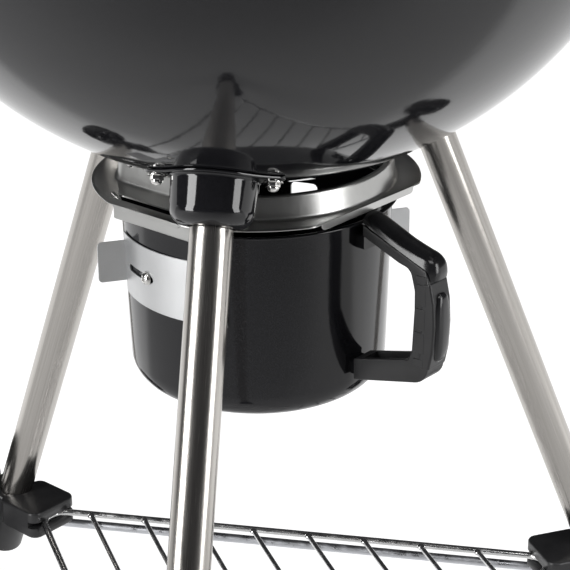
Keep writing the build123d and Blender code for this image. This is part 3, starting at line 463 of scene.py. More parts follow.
def makeRing(d):
    place = levelPlace(ringZ, slideTurn)
    half, top, fold = d["sheet"] / 2, d["collarHeight"], d["fold"]
    side = [(-5.4 * mm, top), (-d["draft"] - fold, top)]
    for k in range(1, 7):                                     # top fold of the collar
        a = radians(15 * k)
        side.append((-d["draft"] - fold + fold * sin(a), top - fold + fold * cos(a)))
    side.append((-d["draft"] * 0.4, top * 0.5))
    for k in range(0, 7):                                     # fold between collar and flange
        a = radians(15 * k)
        side.append((fold - fold * cos(a), half + fold - fold * sin(a)))
    loops = [collarLoop(d, off, z) for off, z in side]
    inner = collarLoop(d, fold, half)
    outer = flangeLoop(d, -0.6 * mm, half)
    for k in range(1, 6):
        loops.append([a.lerp(b, k / 5) for a, b in zip(inner, outer)])
    loops += [flangeLoop(d, -0.18 * mm, half * 0.75), flangeLoop(d, 0, 0),
        flangeLoop(d, -0.18 * mm, -half * 0.75), flangeLoop(d, -0.6 * mm, -half)]
    innerLow = collarLoop(d, fold - 0.2 * mm, -half)
    for k in range(1, 5):
        loops.append([a.lerp(b, k / 4) for a, b in zip(flangeLoop(d, -0.6 * mm, -half), innerLow)])
    under = [(off - d["sheet"], z - (d["sheet"] if z > half + fold else 0)) for off, z in reversed(side)]
    for off, z in under[1:]:
        loops.append(collarLoop(d, off, min(z, top - d["sheet"])))
    ring = skinLoops("pressed_ring", loops, place, wrap=True)
    for sign in (-1, 1):
        middle = sign * (d["slotInner"] + d["slotOuter"]) / 2
        wide = (d["slotOuter"] - d["slotInner"]) / 2
        slot = roundedPath([(-d["slotHalf"] - 5 * mm, middle + sign * wide, 0),
            (-d["slotHalf"], middle - sign * wide, 3 * mm), (d["slotHalf"], middle - sign * wide, 3 * mm),
            (d["slotHalf"] + 5 * mm, middle + sign * wide, 0)], 6, True)
        cutBy(ring, slab("slotCutter", slot, -3 * mm, 3 * mm, place))
    ring = edgeSmooth(ring, 40)
    extras = []
    for sign in (-1, 1):
        rail = roundedPath([(sign * 0.1 * mm, 0, 0), (sign * 1.2 * mm, -0.2 * mm, 0),
            (sign * 1.2 * mm, -d["railDepth"], 1.6 * mm), (-sign * 4.4 * mm, -d["railDepth"], 0),
            (-sign * 4.4 * mm, 1.2 * mm - d["railDepth"], 0),
            (sign * 0.0 * mm, 1.2 * mm - d["railDepth"], 0.6 * mm)], 5, True)
        railPlace = place @ moved((0, sign * d["slotOuter"], 0)) @ Matrix(((0, 0, 1, 0), (1, 0, 0, 0),
            (0, 1, 0, 0), (0, 0, 0, 1)))
        extras.append(slab("rail", rail, -d["slotHalf"], d["slotHalf"], railPlace, 0.25 * mm, 2))
        chord = outlineMm([(-34, 0.3, 0), (34, 0.3, 0), (31, -3.2, 2), (-31, -3.2, 2)], 4, True)
        chordTurn = slideTurn - 90 * sign
        extras.append(slab("sideLip", chord, -1.1 * mm, 0, facingPlace(chordTurn, d["sideChord"], ringZ),
            0.3 * mm, 2))
        tongue = placeOf(spot(0, 0, ringZ) + outward(slideTurn) * (-d["slotHalf"] - 1.5 * mm)
            + outward(chordTurn) * (d["slotOuter"] - 3.2 * mm) + Vector((0, 0, 1.2 * mm)),
            outward(slideTurn), Vector((0, 0, 1)) + outward(slideTurn) * 0.45)
        extras.append(roundedBox("tongue", (8 * mm, 3.0 * mm, 0.9 * mm), tongue, 0.35 * mm, 2))
    lipLine = roundedPath([(-52 * mm, 0.6 * mm, 0.5 * mm), (52 * mm, 0.6 * mm, 0.5 * mm),
        (52 * mm, -d["lip"], 3.6 * mm), (-52 * mm, -d["lip"], 3.6 * mm)], 6, True)
    extras.append(slab("frontLip", lipLine, -1.2 * mm, 0.15 * mm,
        facingPlace(slideTurn, d["frontChord"], ringZ), 0.4 * mm, 2))
    for turn in (slideTurn - 64.5, slideTurn - 115.5, slideTurn + 64.5, slideTurn + 115.5):
        ear = spherePlace(turn, 97 * mm, bowlCentre, bowlShape["radius"], -1)
        earLine = outlineMm([(-8.5, -12.5, 1), (8.5, -12.5, 1), (8.5, 6.5, 6), (-8.5, 6.5, 6)], 6, True)
        extras.append(slab("ear", earLine, 0.6 * mm, 1.8 * mm, ear, 0.35 * mm, 2))
    return joined("pressed_ring_with_rails", [ring] + extras)


ring = fitted(makeRing(ringShape), "root", "satin_stainless", ringSteel, "ash_pot_ring")
print("ring ready")


# Bolts
boltShape = {"hex": 5.0 * mm, "nut": 3.0 * mm, "dome": 4.1 * mm, "washer": 6.6 * mm}


# Domed nut on a washer; its seat is the place's xy plane
def acornNut(place, size=1.0):
    d = {k: v * size for k, v in boltShape.items()}
    washer = lathe("washer", [(0, 0), (d["washer"] - 0.3 * mm, 0), (d["washer"], 0.3 * mm),
        (d["washer"], 0.8 * mm), (d["washer"] - 0.3 * mm, 1.1 * mm), (0, 1.1 * mm)], place, 48)
    nut = slab("nut", hexagon(d["hex"]), 1.0 * mm, 1.0 * mm + d["nut"], place, 0.45 * mm, 2)
    base = 0.6 * mm + d["nut"]
    domeLine = [(0, base)] + [(d["dome"] * cos(radians(a)),
        base + 0.6 * mm + d["dome"] * 0.85 * sin(radians(a)))
        for a in range(0, 90, 9)] + [(0, base + 0.6 * mm + d["dome"] * 0.85)]
    dome = lathe("dome", domeLine, place, 32)
    return [edgeSmooth(washer), nut, edgeSmooth(dome, 50)]


# Shank and flat round head on the bowl's inner side
def innerHead(place, reach, radius=5.4 * mm):
    line = [(0, 1.5 * mm), (3 * mm, 1.5 * mm), (3 * mm, -reach), (radius, -reach),
        (radius, -reach - 1.2 * mm), (radius * 0.7, -reach - 2.4 * mm), (0, -reach - 2.6 * mm)]
    return [edgeSmooth(lathe("innerHead", line, place, 32))]


earPlaces = [spherePlace(slideTurn + t, 97 * mm, bowlCentre, bowlShape["radius"], -1)
    for t in (-64.5, -115.5, 64.5, 115.5)]
parts = []
for place in earPlaces:
    parts += acornNut(place @ moved((0, 0, 1.85 * mm)), 0.72) + innerHead(place, 1.8 * mm, 4.5 * mm)
fitted(joined("ring_dome_nuts", parts), "root", "bright_plate", brightPlate, "ring_bolts")

# Leg sockets
socketShape = {"reach": 134.1 * mm, "gap": 0.4 * mm, "plate": 1.8 * mm, "cup": 30.2 * mm,
    "foot": 28.6 * mm, "depth": 33.5 * mm, "corner": 15.0 * mm, "wall": 1.8 * mm, "ear": 8.0 * mm,
    "boltX": 40.0 * mm, "skirt": 34.5 * mm, "fold": 2.2 * mm, "count": 144}
legShape = {"radius": 15.0 * mm, "wall": 1.2 * mm, "splay": 22.48, "reachAtRing": 151.46 * mm}


# Distance from the middle to the edge of the plate: a big circle and two small ones in a tight band
def lensRadius(d, phi, grow=0.0):
    best = d["skirt"] + grow
    for sign in (-1, 1):
        cx = sign * d["boltX"]
        ux, uy = cos(phi), sin(phi)
        along = cx * ux
        across = abs(cx * uy)
        ear = d["ear"] + grow
        if along > 0 and across < ear:
            best = max(best, along + sqrt(ear ** 2 - across ** 2))
        slope = asin((d["skirt"] - d["ear"]) / d["boltX"])
        nx, ny = sin(slope), cos(slope)              # the band's straight side, mirrored to both sides
        facing = sign * ux * nx + abs(uy) * ny
        if facing > 1e-4:
            reach = (d["skirt"] + grow) / facing
            onLine = -sign * ux * ny * reach + abs(uy) * nx * reach
            length = d["boltX"] * ny
            if -length <= onLine <= 0:
                best = max(best, reach)
    return best


def legPlace(turn, z):                 # z runs down the leg, the origin is on its axis at that height
    lean = tan(radians(legShape["splay"]))
    down = outward(turn) * sin(radians(legShape["splay"])) - Vector((0, 0,
        cos(radians(legShape["splay"]))))
    return placeOf(spot(turn, legShape["reachAtRing"] + (ringZ - z) * lean, z), sideways(turn), down)


def makeSocket(name, turn, d):
    place = spherePlace(turn, d["reach"], bowlCentre, bowlShape["radius"], -1)
    count = d["count"]
    angles = [2 * pi * k / count for k in range(count)]

    def circle(r, z):
        return [Vector((r * cos(a), r * sin(a), z)) for a in angles]

    def lens(inset, z):
        return [Vector((lensRadius(d, a, -inset) * cos(a), lensRadius(d, a, -inset) * sin(a), z))
            for a in angles]

    top = d["gap"] + d["plate"]
    outer = roundedPath([(d["cup"] + d["fold"], top, 0), (d["cup"], top, d["fold"]),
        (d["foot"], d["depth"], d["corner"]), (16.2 * mm, d["depth"], 0.6 * mm),
        (15.4 * mm, d["depth"] - 0.8 * mm, 0)], 12)
    inner = roundedPath([(15.4 * mm, d["depth"] - 1.8 * mm, 0),
        (d["foot"] - d["wall"], d["depth"] - d["wall"], d["corner"] - d["wall"]),
        (d["cup"] - d["wall"], d["gap"], 0)], 8)
    loops = [lens(0.0, d["gap"] + 0.5 * mm), lens(0.0, top - 0.6 * mm), lens(0.2 * mm, top - 0.2 * mm),
        lens(0.7 * mm, top)]
    skirt = circle(d["cup"] + d["fold"], top)
    edge = lens(0.7 * mm, top)
    loops += [[a.lerp(b, k / 4) for a, b in zip(edge, skirt)] for k in (1, 2, 3)]
    loops += [circle(r, z) for r, z in outer]
    loops += [circle(r, z) for r, z in inner]
    loops += [lens(0.6 * mm, d["gap"])]
    # the plate and the top of the cup follow the bowl
    for p in {id(p): p for loop in loops for p in loop}.values():
        keep = max(0.0, 1 - max(0.0, p.z - top) / (12 * mm))
        p.z -= keep * (p.x ** 2 + p.y ** 2) / (2 * bowlShape["radius"])
    return edgeSmooth(skinLoops(name, loops, place, wrap=True), 50)


# Thin oval plate with a stub inside the leg
def makeRearSocket(name, turn, d):
    place = spherePlace(turn, d["reach"], bowlCentre, bowlShape["radius"], -1)
    outline = [(lensRadius(d, 2 * pi * k / d["count"]) * cos(2 * pi * k / d["count"]),
        lensRadius(d, 2 * pi * k / d["count"]) * sin(2 * pi * k / d["count"])) for k in range(d["count"])]
    flange = slab(name, outline, d["gap"], d["gap"] + d["plate"], place, 0.4 * mm, 2)
    stubTop = (place @ Vector((0, 0, d["gap"] + d["plate"] / 2))).z
    stub = lathe("stub", [(11.9 * mm, 0), (13.7 * mm, 0), (13.7 * mm, 29 * mm), (12.9 * mm, 30 * mm),
        (11.9 * mm, 30 * mm)], legPlace(turn, stubTop), 64)
    return joined(name, [flange, edgeSmooth(stub)])


fitted(makeSocket("socket_cup_front", 0.0, socketShape), "root", "black_enamel", enamel,
    "leg_socket_front")
for name in ("rear_right", "rear_left"):
    fitted(makeRearSocket("socket_plate_" + name, legTurns[name], socketShape), "root", "black_enamel",
        enamel, "leg_socket_" + name)
parts = []
for turn in legTurns.values():
    place = spherePlace(turn, socketShape["reach"], bowlCentre, bowlShape["radius"], -1)
    for sign in (-1, 1):
        seat = place @ moved((sign * socketShape["boltX"], 0, 0))
        # the front plate lies closer to the bowl at its ends
        low = -0.4 * mm if turn == 0.0 else 2.25 * mm
        parts += acornNut(seat @ moved((0, 0, low))) + innerHead(seat, 5.5 * mm)
fitted(joined("socket_dome_nuts", parts), "root", "bright_plate", brightPlate, "socket_bolts")
print("sockets ready")


# Legs
# Tube with an unwrapped length and girth for the brushing
def makeLeg(name, turn, topZ, endZ, d):
    place = legPlace(turn, topZ)
    length = (topZ - endZ) / cos(radians(d["splay"]))
    count, rows = 96, 24
    ends = [(d["radius"] - d["wall"], 0), (d["radius"] - 0.3 * mm, 0), (d["radius"], 0.3 * mm)]
    ends += [(d["radius"], length * k / rows) for k in range(1, rows)]
    ends += [(d["radius"], length - 0.3 * mm), (d["radius"] - 0.3 * mm, length),
        (d["radius"] - d["wall"], length)]
    leg = lathe(name, ends, place, count)
    layer = leg.data.uv_layers.new(name="girth")
    back = place.inverted()
    for face in leg.data.polygons:
        turns = []
        for corner in face.loop_indices:
            p = back @ leg.data.vertices[leg.data.loops[corner].vertex_index].co
            turns.append((corner, atan2(p.y, p.x), p.z))
        wide = max(t[1] for t in turns) - min(t[1] for t in turns) > pi
        for corner, angle, along in turns:
            angle = angle + 2 * pi if wide and angle < 0 else angle
            layer.data[corner].uv = (angle * d["radius"], along)
    return edgeSmooth(leg, 60)


legTops = {"front": ringZ + 26 * mm, "rear_right": ringZ + 60 * mm, "rear_left": ringZ + 60 * mm}
legEnds = {"front": 10.0 * mm, "rear_right": 58.0 * mm, "rear_left": 58.0 * mm}
for name, turn in legTurns.items():
    leg = makeLeg("tube_leg_" + name, turn, legTops[name], legEnds[name], legShape)
    if name != "front":                # the tube ends against the socket's plate
        under = spherePlace(turn, socketShape["reach"], bowlCentre, bowlShape["radius"], -1)
        cutBy(leg, roundedBox("plateCut", (0.2, 0.2, 0.1), under @ moved((0, 0, 2.25 * mm - 0.05)), 0))
        edgeSmooth(leg, 60)
    fitted(leg, "root", "brushed_stainless", legSteel, "leg_" + name)
print("legs ready")

# Ash pot
potShape = {"rimZ": ringZ - 11.5 * mm, "base": ringZ - 160.0 * mm, "topRadius": 102.2 * mm,
    "baseRadius": 97.9 * mm, "rim": 107.0 * mm, "sheet": 1.2 * mm, "corner": 22.0 * mm, "ventTurn": -10.5,
    "ventZ": ringZ - 58.0 * mm, "ventWidth": 23.0 * mm, "ventHeight": 35.0 * mm}


def potRadius(z, d=potShape):
    share = (d["rimZ"] - d["sheet"] - z) / (d["rimZ"] - d["sheet"] - d["base"])
    return d["topRadius"] + share * (d["baseRadius"] - d["topRadius"])


def windowLine(width, height, corner, steps=5):
    x, y = width / 2, height / 2
    return roundedPath([(-x, -y, corner), (x, -y, corner), (x, y, corner), (-x, y, corner)], steps, True)


def makePot(d):
    t = d["sheet"]
    wallSteps = [(potRadius(d["rimZ"] - (14 + 12 * k) * mm), d["rimZ"] - (14 + 12 * k) * mm, 0)
        for k in range(9)]
    line = roundedPath([(0, d["base"], 0), (60 * mm, d["base"], 0),
        (d["baseRadius"], d["base"], d["corner"])] + list(reversed(wallSteps))
        + [(d["topRadius"], d["rimZ"] - t, 2.4 * mm), (d["rim"] - 0.3 * mm, d["rimZ"] - t, 0.5 * mm),
        (d["rim"], d["rimZ"] - t / 2, 0.5 * mm), (d["rim"] - 0.3 * mm, d["rimZ"], 0.5 * mm),
        (d["topRadius"] - t, d["rimZ"], 3.4 * mm)] + [(r - t, z, 0) for r, z, bend in wallSteps]
        + [(d["baseRadius"] - t, d["base"] + t, d["corner"] - t), (60 * mm, d["base"] + t, 0),
        (0, d["base"] + t, 0)], 10)
    pot = lathe("drawn_pot", line, moved((0, axisY, 0)), 256)
    for turn in (d["ventTurn"], d["ventTurn"] + 180):
        cutBy(pot, slab("ventCutter", windowLine(d["ventWidth"], d["ventHeight"], 4 * mm), 60 * mm,
            130 * mm, facingPlace(turn, 0, d["ventZ"])))
    return edgeSmooth(pot, 40)


fitted(makePot(potShape), "pot", "black_enamel", potEnamel, "ash_pot")

# Damper bands
bandShape = {"top": ringZ - 34.0 * mm, "low": ringZ - 82.5 * mm, "gap": 0.4 * mm, "sheet": 1.0 * mm,
    "start": -62.0, "end": -0.5, "slot": (-55.5, -36.0), "slotHeight": 5.4 * mm, "tabReach": 123.5 * mm,
    "tabHalf": 16.0 * mm, "bend": 3.0}


# Bent strip, with its end folded out into a tab
def makeBand(name, turn, d):
    low, high = d["low"], d["top"]
    rows = 8
    zs = [low + 0.35 * mm] + [low + (high - low) * k / rows for k in range(1, rows)] + [high - 0.35 * mm]
    cols = [d["start"] + (d["end"] - d["start"]) * k / 72 for k in range(73)]
    loops = []
    for angle in cols:
        e = outward(angle + turn)
        section = []
        outerEdge = [(z, d["gap"] + d["sheet"]) for z in zs]
        path = ([(low, d["gap"] + d["sheet"] * 0.35), (low, d["gap"] + d["sheet"] * 0.65)] + outerEdge
            + [(high, d["gap"] + d["sheet"] * 0.65), (high, d["gap"] + d["sheet"] * 0.35)]
            + [(z, d["gap"]) for z in reversed(zs)])
        for z, off in path:
            section.append(Vector((0, axisY, z)) + e * (potRadius(z) + off))
        loops.append(section)
    band = skinLoops(name, loops, Matrix.Identity(4), closeEnds=True)
    cutBy(band, slab("windowCutter", windowLine(potShape["ventWidth"], potShape["ventHeight"], 4 * mm),
        60 * mm, 130 * mm, facingPlace(potShape["ventTurn"] + turn, 0, potShape["ventZ"])))
    half = potShape["topRadius"] * sin(radians(d["slot"][1] - d["slot"][0]) / 2)
    slotLine = windowLine(2 * half, d["slotHeight"], d["slotHeight"] * 0.497, 8)
    cutBy(band, slab("slotCutter", slotLine, 60 * mm, 130 * mm,
        facingPlace(sum(d["slot"]) / 2 + turn, 0, potShape["ventZ"])))
    edgeSmooth(band, 40)
    zMid = potShape["ventZ"] + 1 * mm
    rootR = potRadius(zMid) + d["gap"] + d["sheet"] / 2
    radial = placeOf(spot(turn + d["start"], 0, 0), outward(turn + d["start"]),
        -sideways(turn + d["start"]))
    tabLine = roundedPath([(rootR - 0.3 * mm, zMid - d["tabHalf"], 0),
        (d["tabReach"], zMid - d["tabHalf"], 3.2 * mm), (d["tabReach"], zMid + d["tabHalf"], 3.2 * mm),
        (rootR - 0.3 * mm, zMid + d["tabHalf"], 0)], 5, True)
    tab = slab("tab", tabLine, -d["sheet"], 0, radial, 0.25 * mm, 2)
    return joined(name, [band, tab])


for side, turn in (("left", 0.0), ("right", 180.0)):
    fitted(makeBand("air_band_" + side, turn, bandShape), "damper_" + side, "damper_aluminium", bandMetal,
        "damper_" + side)

screwShape = {"seat": 1.75 * mm, "washer": 5.2 * mm, "head": 4.3 * mm, "rise": 2.6 * mm,
    "recess": 2.1 * mm}


def makeBandScrew(turn, d):
    face = facingPlace(turn, potRadius(potShape["ventZ"]), potShape["ventZ"])
    washer = lathe("screwWasher", [(0, d["seat"]), (d["washer"] - 0.2 * mm, d["seat"]),
        (d["washer"], d["seat"] + 0.2 * mm), (d["washer"] - 0.1 * mm, d["seat"] + 0.9 * mm),
        (0, d["seat"] + 0.9 * mm)], face, 48)
    base = d["seat"] + 0.9 * mm
    dome = [(0, base), (d["head"] * 0.94, base), (d["head"], base + 0.5 * mm)]
    dome += [(d["head"] * cos(radians(a)), base + 0.6 * mm + (d["rise"] - 0.6 * mm) * sin(radians(a)))
        for a in range(8, 90, 8)] + [(0, base + d["rise"])]
    head = lathe("screwHead", dome, face, 48)
    for across in (0, 90):
        arm = face @ Matrix.Rotation(radians(45 + across), 4, "Z") @ moved((0, 0, base + d["rise"]))
        cutBy(head, roundedBox("recess", (2 * d["recess"], 0.9 * mm, 2.6 * mm), arm, 0))
    shank = lathe("shank", [(0, 2 * mm), (2 * mm, 2 * mm), (2 * mm, -6 * mm), (0, -6 * mm)], face, 24)
    nut = slab("innerNut", hexagon(4 * mm), -4.5 * mm, -1.5 * mm, face, 0.4 * mm, 2)
    return [edgeSmooth(washer), edgeSmooth(head, 40), edgeSmooth(shank), nut]


bandScrews = joined("band_screws", makeBandScrew(-40.0, screwShape) + makeBandScrew(140.0, screwShape))
fitted(bandScrews, "pot", "bright_plate", brightPlate, "damper_screws")
print("pot and dampers ready")

# Pot handle
handleShape = {"half": 10.5 * mm, "edge": 3.0 * mm, "grip": 4.6 * mm, "padPitch": 18.2, "padHeight": 15.4}


# Outline in the handle's plane, millimetres: radius from the kettle's axis, height from the ring, rounding
def handleLine(points):
    return roundedPath([(r * mm, ringZ + z * mm, rad * mm) for r, z, rad in points], 7, True)


def sideSlab(name, points, low, high, bevel, segments=4):
    return slab(name, handleLine(points), low, high, uprightPlace(slideTurn), bevel, segments)


# Loft along a list of (low point, high point, half width): flat underneath and crowned on top
def crownedBar(name, spine, place, across=17, sharp=2.4):
    loops = []
    for lowPoint, highPoint, halfWidth in spine:
        a, b = Vector(lowPoint), Vector(highPoint)
        loop = []
        for k in range(across):
            t = -1 + 2 * k / (across - 1)
            rise = (1 - abs(t) ** sharp) ** (1 / sharp) * 0.86 + 0.14
            p = a.lerp(b, rise)
            loop.append(Vector((p.x, p.y, t * halfWidth)))
        for k in range(1, across - 1):
            t = 1 - 2 * k / (across - 1)
            loop.append(Vector((a.x, a.y, t * halfWidth)))
        loops.append(loop)
    return edgeSmooth(skinLoops(name, loops, place, closeEnds=True), 38)


# Catmull-Rom through tuples of numbers
def smoothLine(points, steps=6):
    out = []
    for i in range(len(points) - 1):
        p0, p1 = points[max(i - 1, 0)], points[i]
        p2, p3 = points[i + 1], points[min(i + 2, len(points) - 1)]
        for k in range(steps):
            t = k / steps
            out.append(tuple(0.5 * ((2 * b) + (c - a) * t + (2 * a - 5 * b + 4 * c - e) * t * t
                + (-a + 3 * b - 3 * c + e) * t ** 3) for a, b, c, e in zip(p0, p1, p2, p3)))
    out.append(tuple(points[-1]))
    return out


def makeHandle(d):
    body = sideSlab("handleBody", [(109.6, -11.8, 0.8), (109.6, -20.2, 1.5), (142, -32.6, 6),
        (152.5, -35, 8), (156.6, -50, 12), (156.8, -64, 12), (155.2, -97, 6), (152, -105, 4),
        (146, -106.2, 3), (102.6, -118.6, 1), (102.6, -135.6, 1.5), (168, -118.4, 15), (170.4, -104, 5),
        (171.5, -92, 14), (171.8, -72, 14), (169.6, -42, 6), (166.4, -33.4, 1.5)], -d["half"] + 0.4 * mm,
        d["half"] - 0.4 * mm, d["edge"], 4)
    channel = sideSlab("channelCutter", [(110.5, -112, 0), (111, -128.8, 2), (149, -118.4, 3),
        (149, -98, 0)], -d["half"] + 3.4 * mm, d["half"] - 3.4 * mm, 0.8 * mm, 2)
    cutBy(body, channel)
    edgeSmooth(body, 40)
    rib = sideSlab("rib", [(111, -119, 0.5), (111, -129, 0), (149.5, -119, 0), (149.5, -111, 0.5)],
        -0.9 * mm, 0.9 * mm, 0.3 * mm, 2)
    crossRibs = [sideSlab("crossRib", [(x - 0.8, -121 + (x - 111) * 0.27, 0),
        (x - 0.8, -130 + (x - 111) * 0.27, 0), (x + 0.8, -130 + (x - 111) * 0.27, 0),
        (x + 0.8, -121 + (x - 111) * 0.27, 0)], -d["half"] + 3 * mm, d["half"] - 3 * mm, 0.2 * mm, 2)
        for x in (124, 137)]
    return joined("handle_frame", [body, rib] + crossRibs)


# Bulged outer shell of the grip, with finger pads on both sides
def makeGrip(d):
    shell = sideSlab("gripShell", [(164.2, -42.8, 2), (169.9, -41.2, 2), (173.4, -56, 16),
        (174.6, -74, 22), (173.6, -94, 16), (170.6, -108.4, 2.5), (161.5, -108.9, 2.5), (162.4, -92, 10),
        (163, -72, 10), (162.6, -56, 8)], -d["half"], d["half"], d["grip"], 6)
    pads = []
    for sign in (-1, 1):
        rows = [(-52 - d["padPitch"] * k, d["padHeight"]) for k in range(3)] + [(-40.0, 4.8),
            (-104.4, 6.0)]
        for zMid, tall in rows:
            lean = (zMid + 70) * 0.015
            x0, x1 = 157.4 + lean, 166.6 + lean
            outline = [(x0, zMid - tall / 2, 1.0), (x1, zMid - tall / 2 - 0.5, 1.0),
                (x1, zMid + tall / 2 + 0.5, 1.0), (x0, zMid + tall / 2, 1.0)]
            low, high = (d["half"] - 2 * mm, d["half"] + 0.15 * mm)
            pads.append(sideSlab("pad", outline, min(sign * low, sign * high),
                max(sign * low, sign * high), 0.45 * mm, 3))
    return joined("handle_grip_shell", [shell] + pads)


def makeCap():
    keys = [(109.6, -11.6, 109.6, -4.2, 9.6), (116, -14.0, 116.6, -5.4, 10.3),
        (128, -18.6, 128.8, -10.6, 10.6), (142, -24.0, 143, -16.6, 10.6), (155, -29.2, 157, -20.6, 10.6),
        (163, -32.4, 166.2, -22.8, 10.3), (167.0, -35.2, 171.8, -27.4, 9.7),
        (168.4, -38.6, 173.6, -34.0, 9.2), (169.2, -40.4, 173.0, -40.0, 8.8)]
    line = smoothLine(keys)
    spine = [((a * mm, ringZ + b * mm), (c * mm, ringZ + e * mm), w * mm) for a, b, c, e, w in line]
    return crownedBar("handle_top_cap", spine, uprightPlace(slideTurn))


def makePad():
    keys = [(172.6, -50.5, 174.2, -50.5, 3.0), (173.2, -54, 176.0, -54, 5.6),
        (173.6, -64, 177.0, -64, 7.6), (174.0, -78, 177.4, -78, 8.0), (173.4, -92, 176.6, -92, 7.4),
        (172.2, -100, 175.0, -100, 5.4), (171.4, -103, 173.0, -103, 3.0)]
    line = smoothLine(keys)
    spine = [((a * mm, ringZ + b * mm), (c * mm, ringZ + e * mm), w * mm) for a, b, c, e, w in line]
    return crownedBar("handle_thumb_panel", spine, uprightPlace(slideTurn), 15, 2.2)


fitted(makeHandle(handleShape), "pot", "black_nylon", nylon, "pot_handle_body")
fitted(makeGrip(handleShape), "pot", "black_nylon", nylon)
fitted(makeCap(), "pot", "gloss_black_nylon", glossNylon, "pot_handle_cap")
fitted(makePad(), "pot", "gloss_black_nylon", glossNylon, "pot_handle_pad")
print("pot handle ready")

# Feet, axle and wheels
footShape = {"radius": 19.0 * mm, "top": 50.0 * mm, "sleeveTop": 86.0 * mm, "sleeveEnd": 50.0 * mm,
    "tubeEnd": 58.0 * mm, "bevel": 2.5 * mm}


def legDistance(fromZ, toZ):
    return (fromZ - toZ) / cos(radians(legShape["splay"]))


def makeFoot(d):
    length = legDistance(d["top"], -25 * mm)
    line = roundedPath([(15.05 * mm, legDistance(d["top"], 10 * mm), 0), (15.05 * mm, 0, 1.0 * mm),
        (d["radius"], 0, d["bevel"]), (d["radius"], length, 0), (0, length, 0),
        (0, legDistance(d["top"], 10 * mm), 0)], 6)
    foot = lathe("front_foot_cap", line, legPlace(0, d["top"]), 96)
    groove = lathe("footGroove", [(d["radius"] - 0.8 * mm, 14 * mm), (d["radius"] + 2 * mm, 14 * mm),
        (d["radius"] + 2 * mm, 15.4 * mm), (d["radius"] - 0.8 * mm, 15.4 * mm)], legPlace(0, d["top"]), 96)
    cutBy(foot, groove)
    cutBy(foot, roundedBox("floorCut", (0.4, 0.4, 0.2), Matrix.Translation(spot(0, 0.35, -0.1)), 0))
    return edgeSmooth(foot, 40)


fitted(makeFoot(footShape), "root", "black_nylon", nylon, "front_foot")

axlePoint = spot(120, legShape["reachAtRing"] + (ringZ - 75 * mm) * tan(radians(legShape["splay"])),
    75 * mm)
wheelShape = {"x": 326.0 * mm, "radius": 75.0 * mm, "rim": 63.0 * mm, "hub": 15.0 * mm, "width": 34.0 * mm,
    "web": 5.0 * mm, "bore": 4.1 * mm, "spokes": 6, "treadRows": 2, "treads": 44}


def acrossX(x, side=1):                # z along the axle, pointing outward on that side
    return placeOf(Vector((x, axlePoint.y, axlePoint.z)), Vector((0, 1, 0)), Vector((side, 0, 0)))


def makeSleeve(name, turn, d):
    length = legDistance(d["sleeveTop"], d["sleeveEnd"])
    inside = legDistance(d["sleeveTop"], d["tubeEnd"])
    line = roundedPath([(0, length, 0), (0, inside, 0), (15.05 * mm, inside, 0), (15.05 * mm, 0, 1.0 * mm),
        (d["radius"], 0, d["bevel"]), (d["radius"], length, 6 * mm)], 8)
    block = lathe(name, line, legPlace(turn, d["sleeveTop"]), 96)
    cutBy(block, lathe("axleBore", [(0, -0.5), (4.1 * mm, -0.5), (4.1 * mm, 0.5), (0, 0.5)], acrossX(0),
        32))
    return edgeSmooth(block, 40)


for side, turn in (("right", 120.0), ("left", -120.0)):
    fitted(makeSleeve("axle_block_" + side, turn, footShape), "root", "black_nylon", nylon,
        "axle_block_" + side)

axleHalf = wheelShape["x"] + wheelShape["width"] / 2 + 6 * mm
axleRod = edgeSmooth(lathe("axle_rod", [(0, -axleHalf), (4 * mm, -axleHalf), (4 * mm, axleHalf),
    (0, axleHalf)], acrossX(0), 48))
fitted(axleRod, "root", "zinc_plate", zincPlate, "axle")
parts = []
for side in (-1, 1):
    seat = wheelShape["x"] + wheelShape["width"] / 2 + 0.6 * mm
    length = axleHalf - seat
    line = roundedPath([(0, length + 3.6 * mm, 0), (5.5 * mm, length + 3.4 * mm, 3 * mm),
        (9.8 * mm, length, 3 * mm), (10 * mm, 0, 0.8 * mm), (4.05 * mm, 0, 0),
        (4.05 * mm, length - 0.2 * mm, 0), (0, length - 0.2 * mm, 0)], 6)
    parts.append(edgeSmooth(lathe("hubCap", line, acrossX(side * seat, side), 64), 40))
fitted(joined("axle_cap_nuts_pressed", parts), "root", "bright_plate", brightPlate, "axle_cap_nuts")


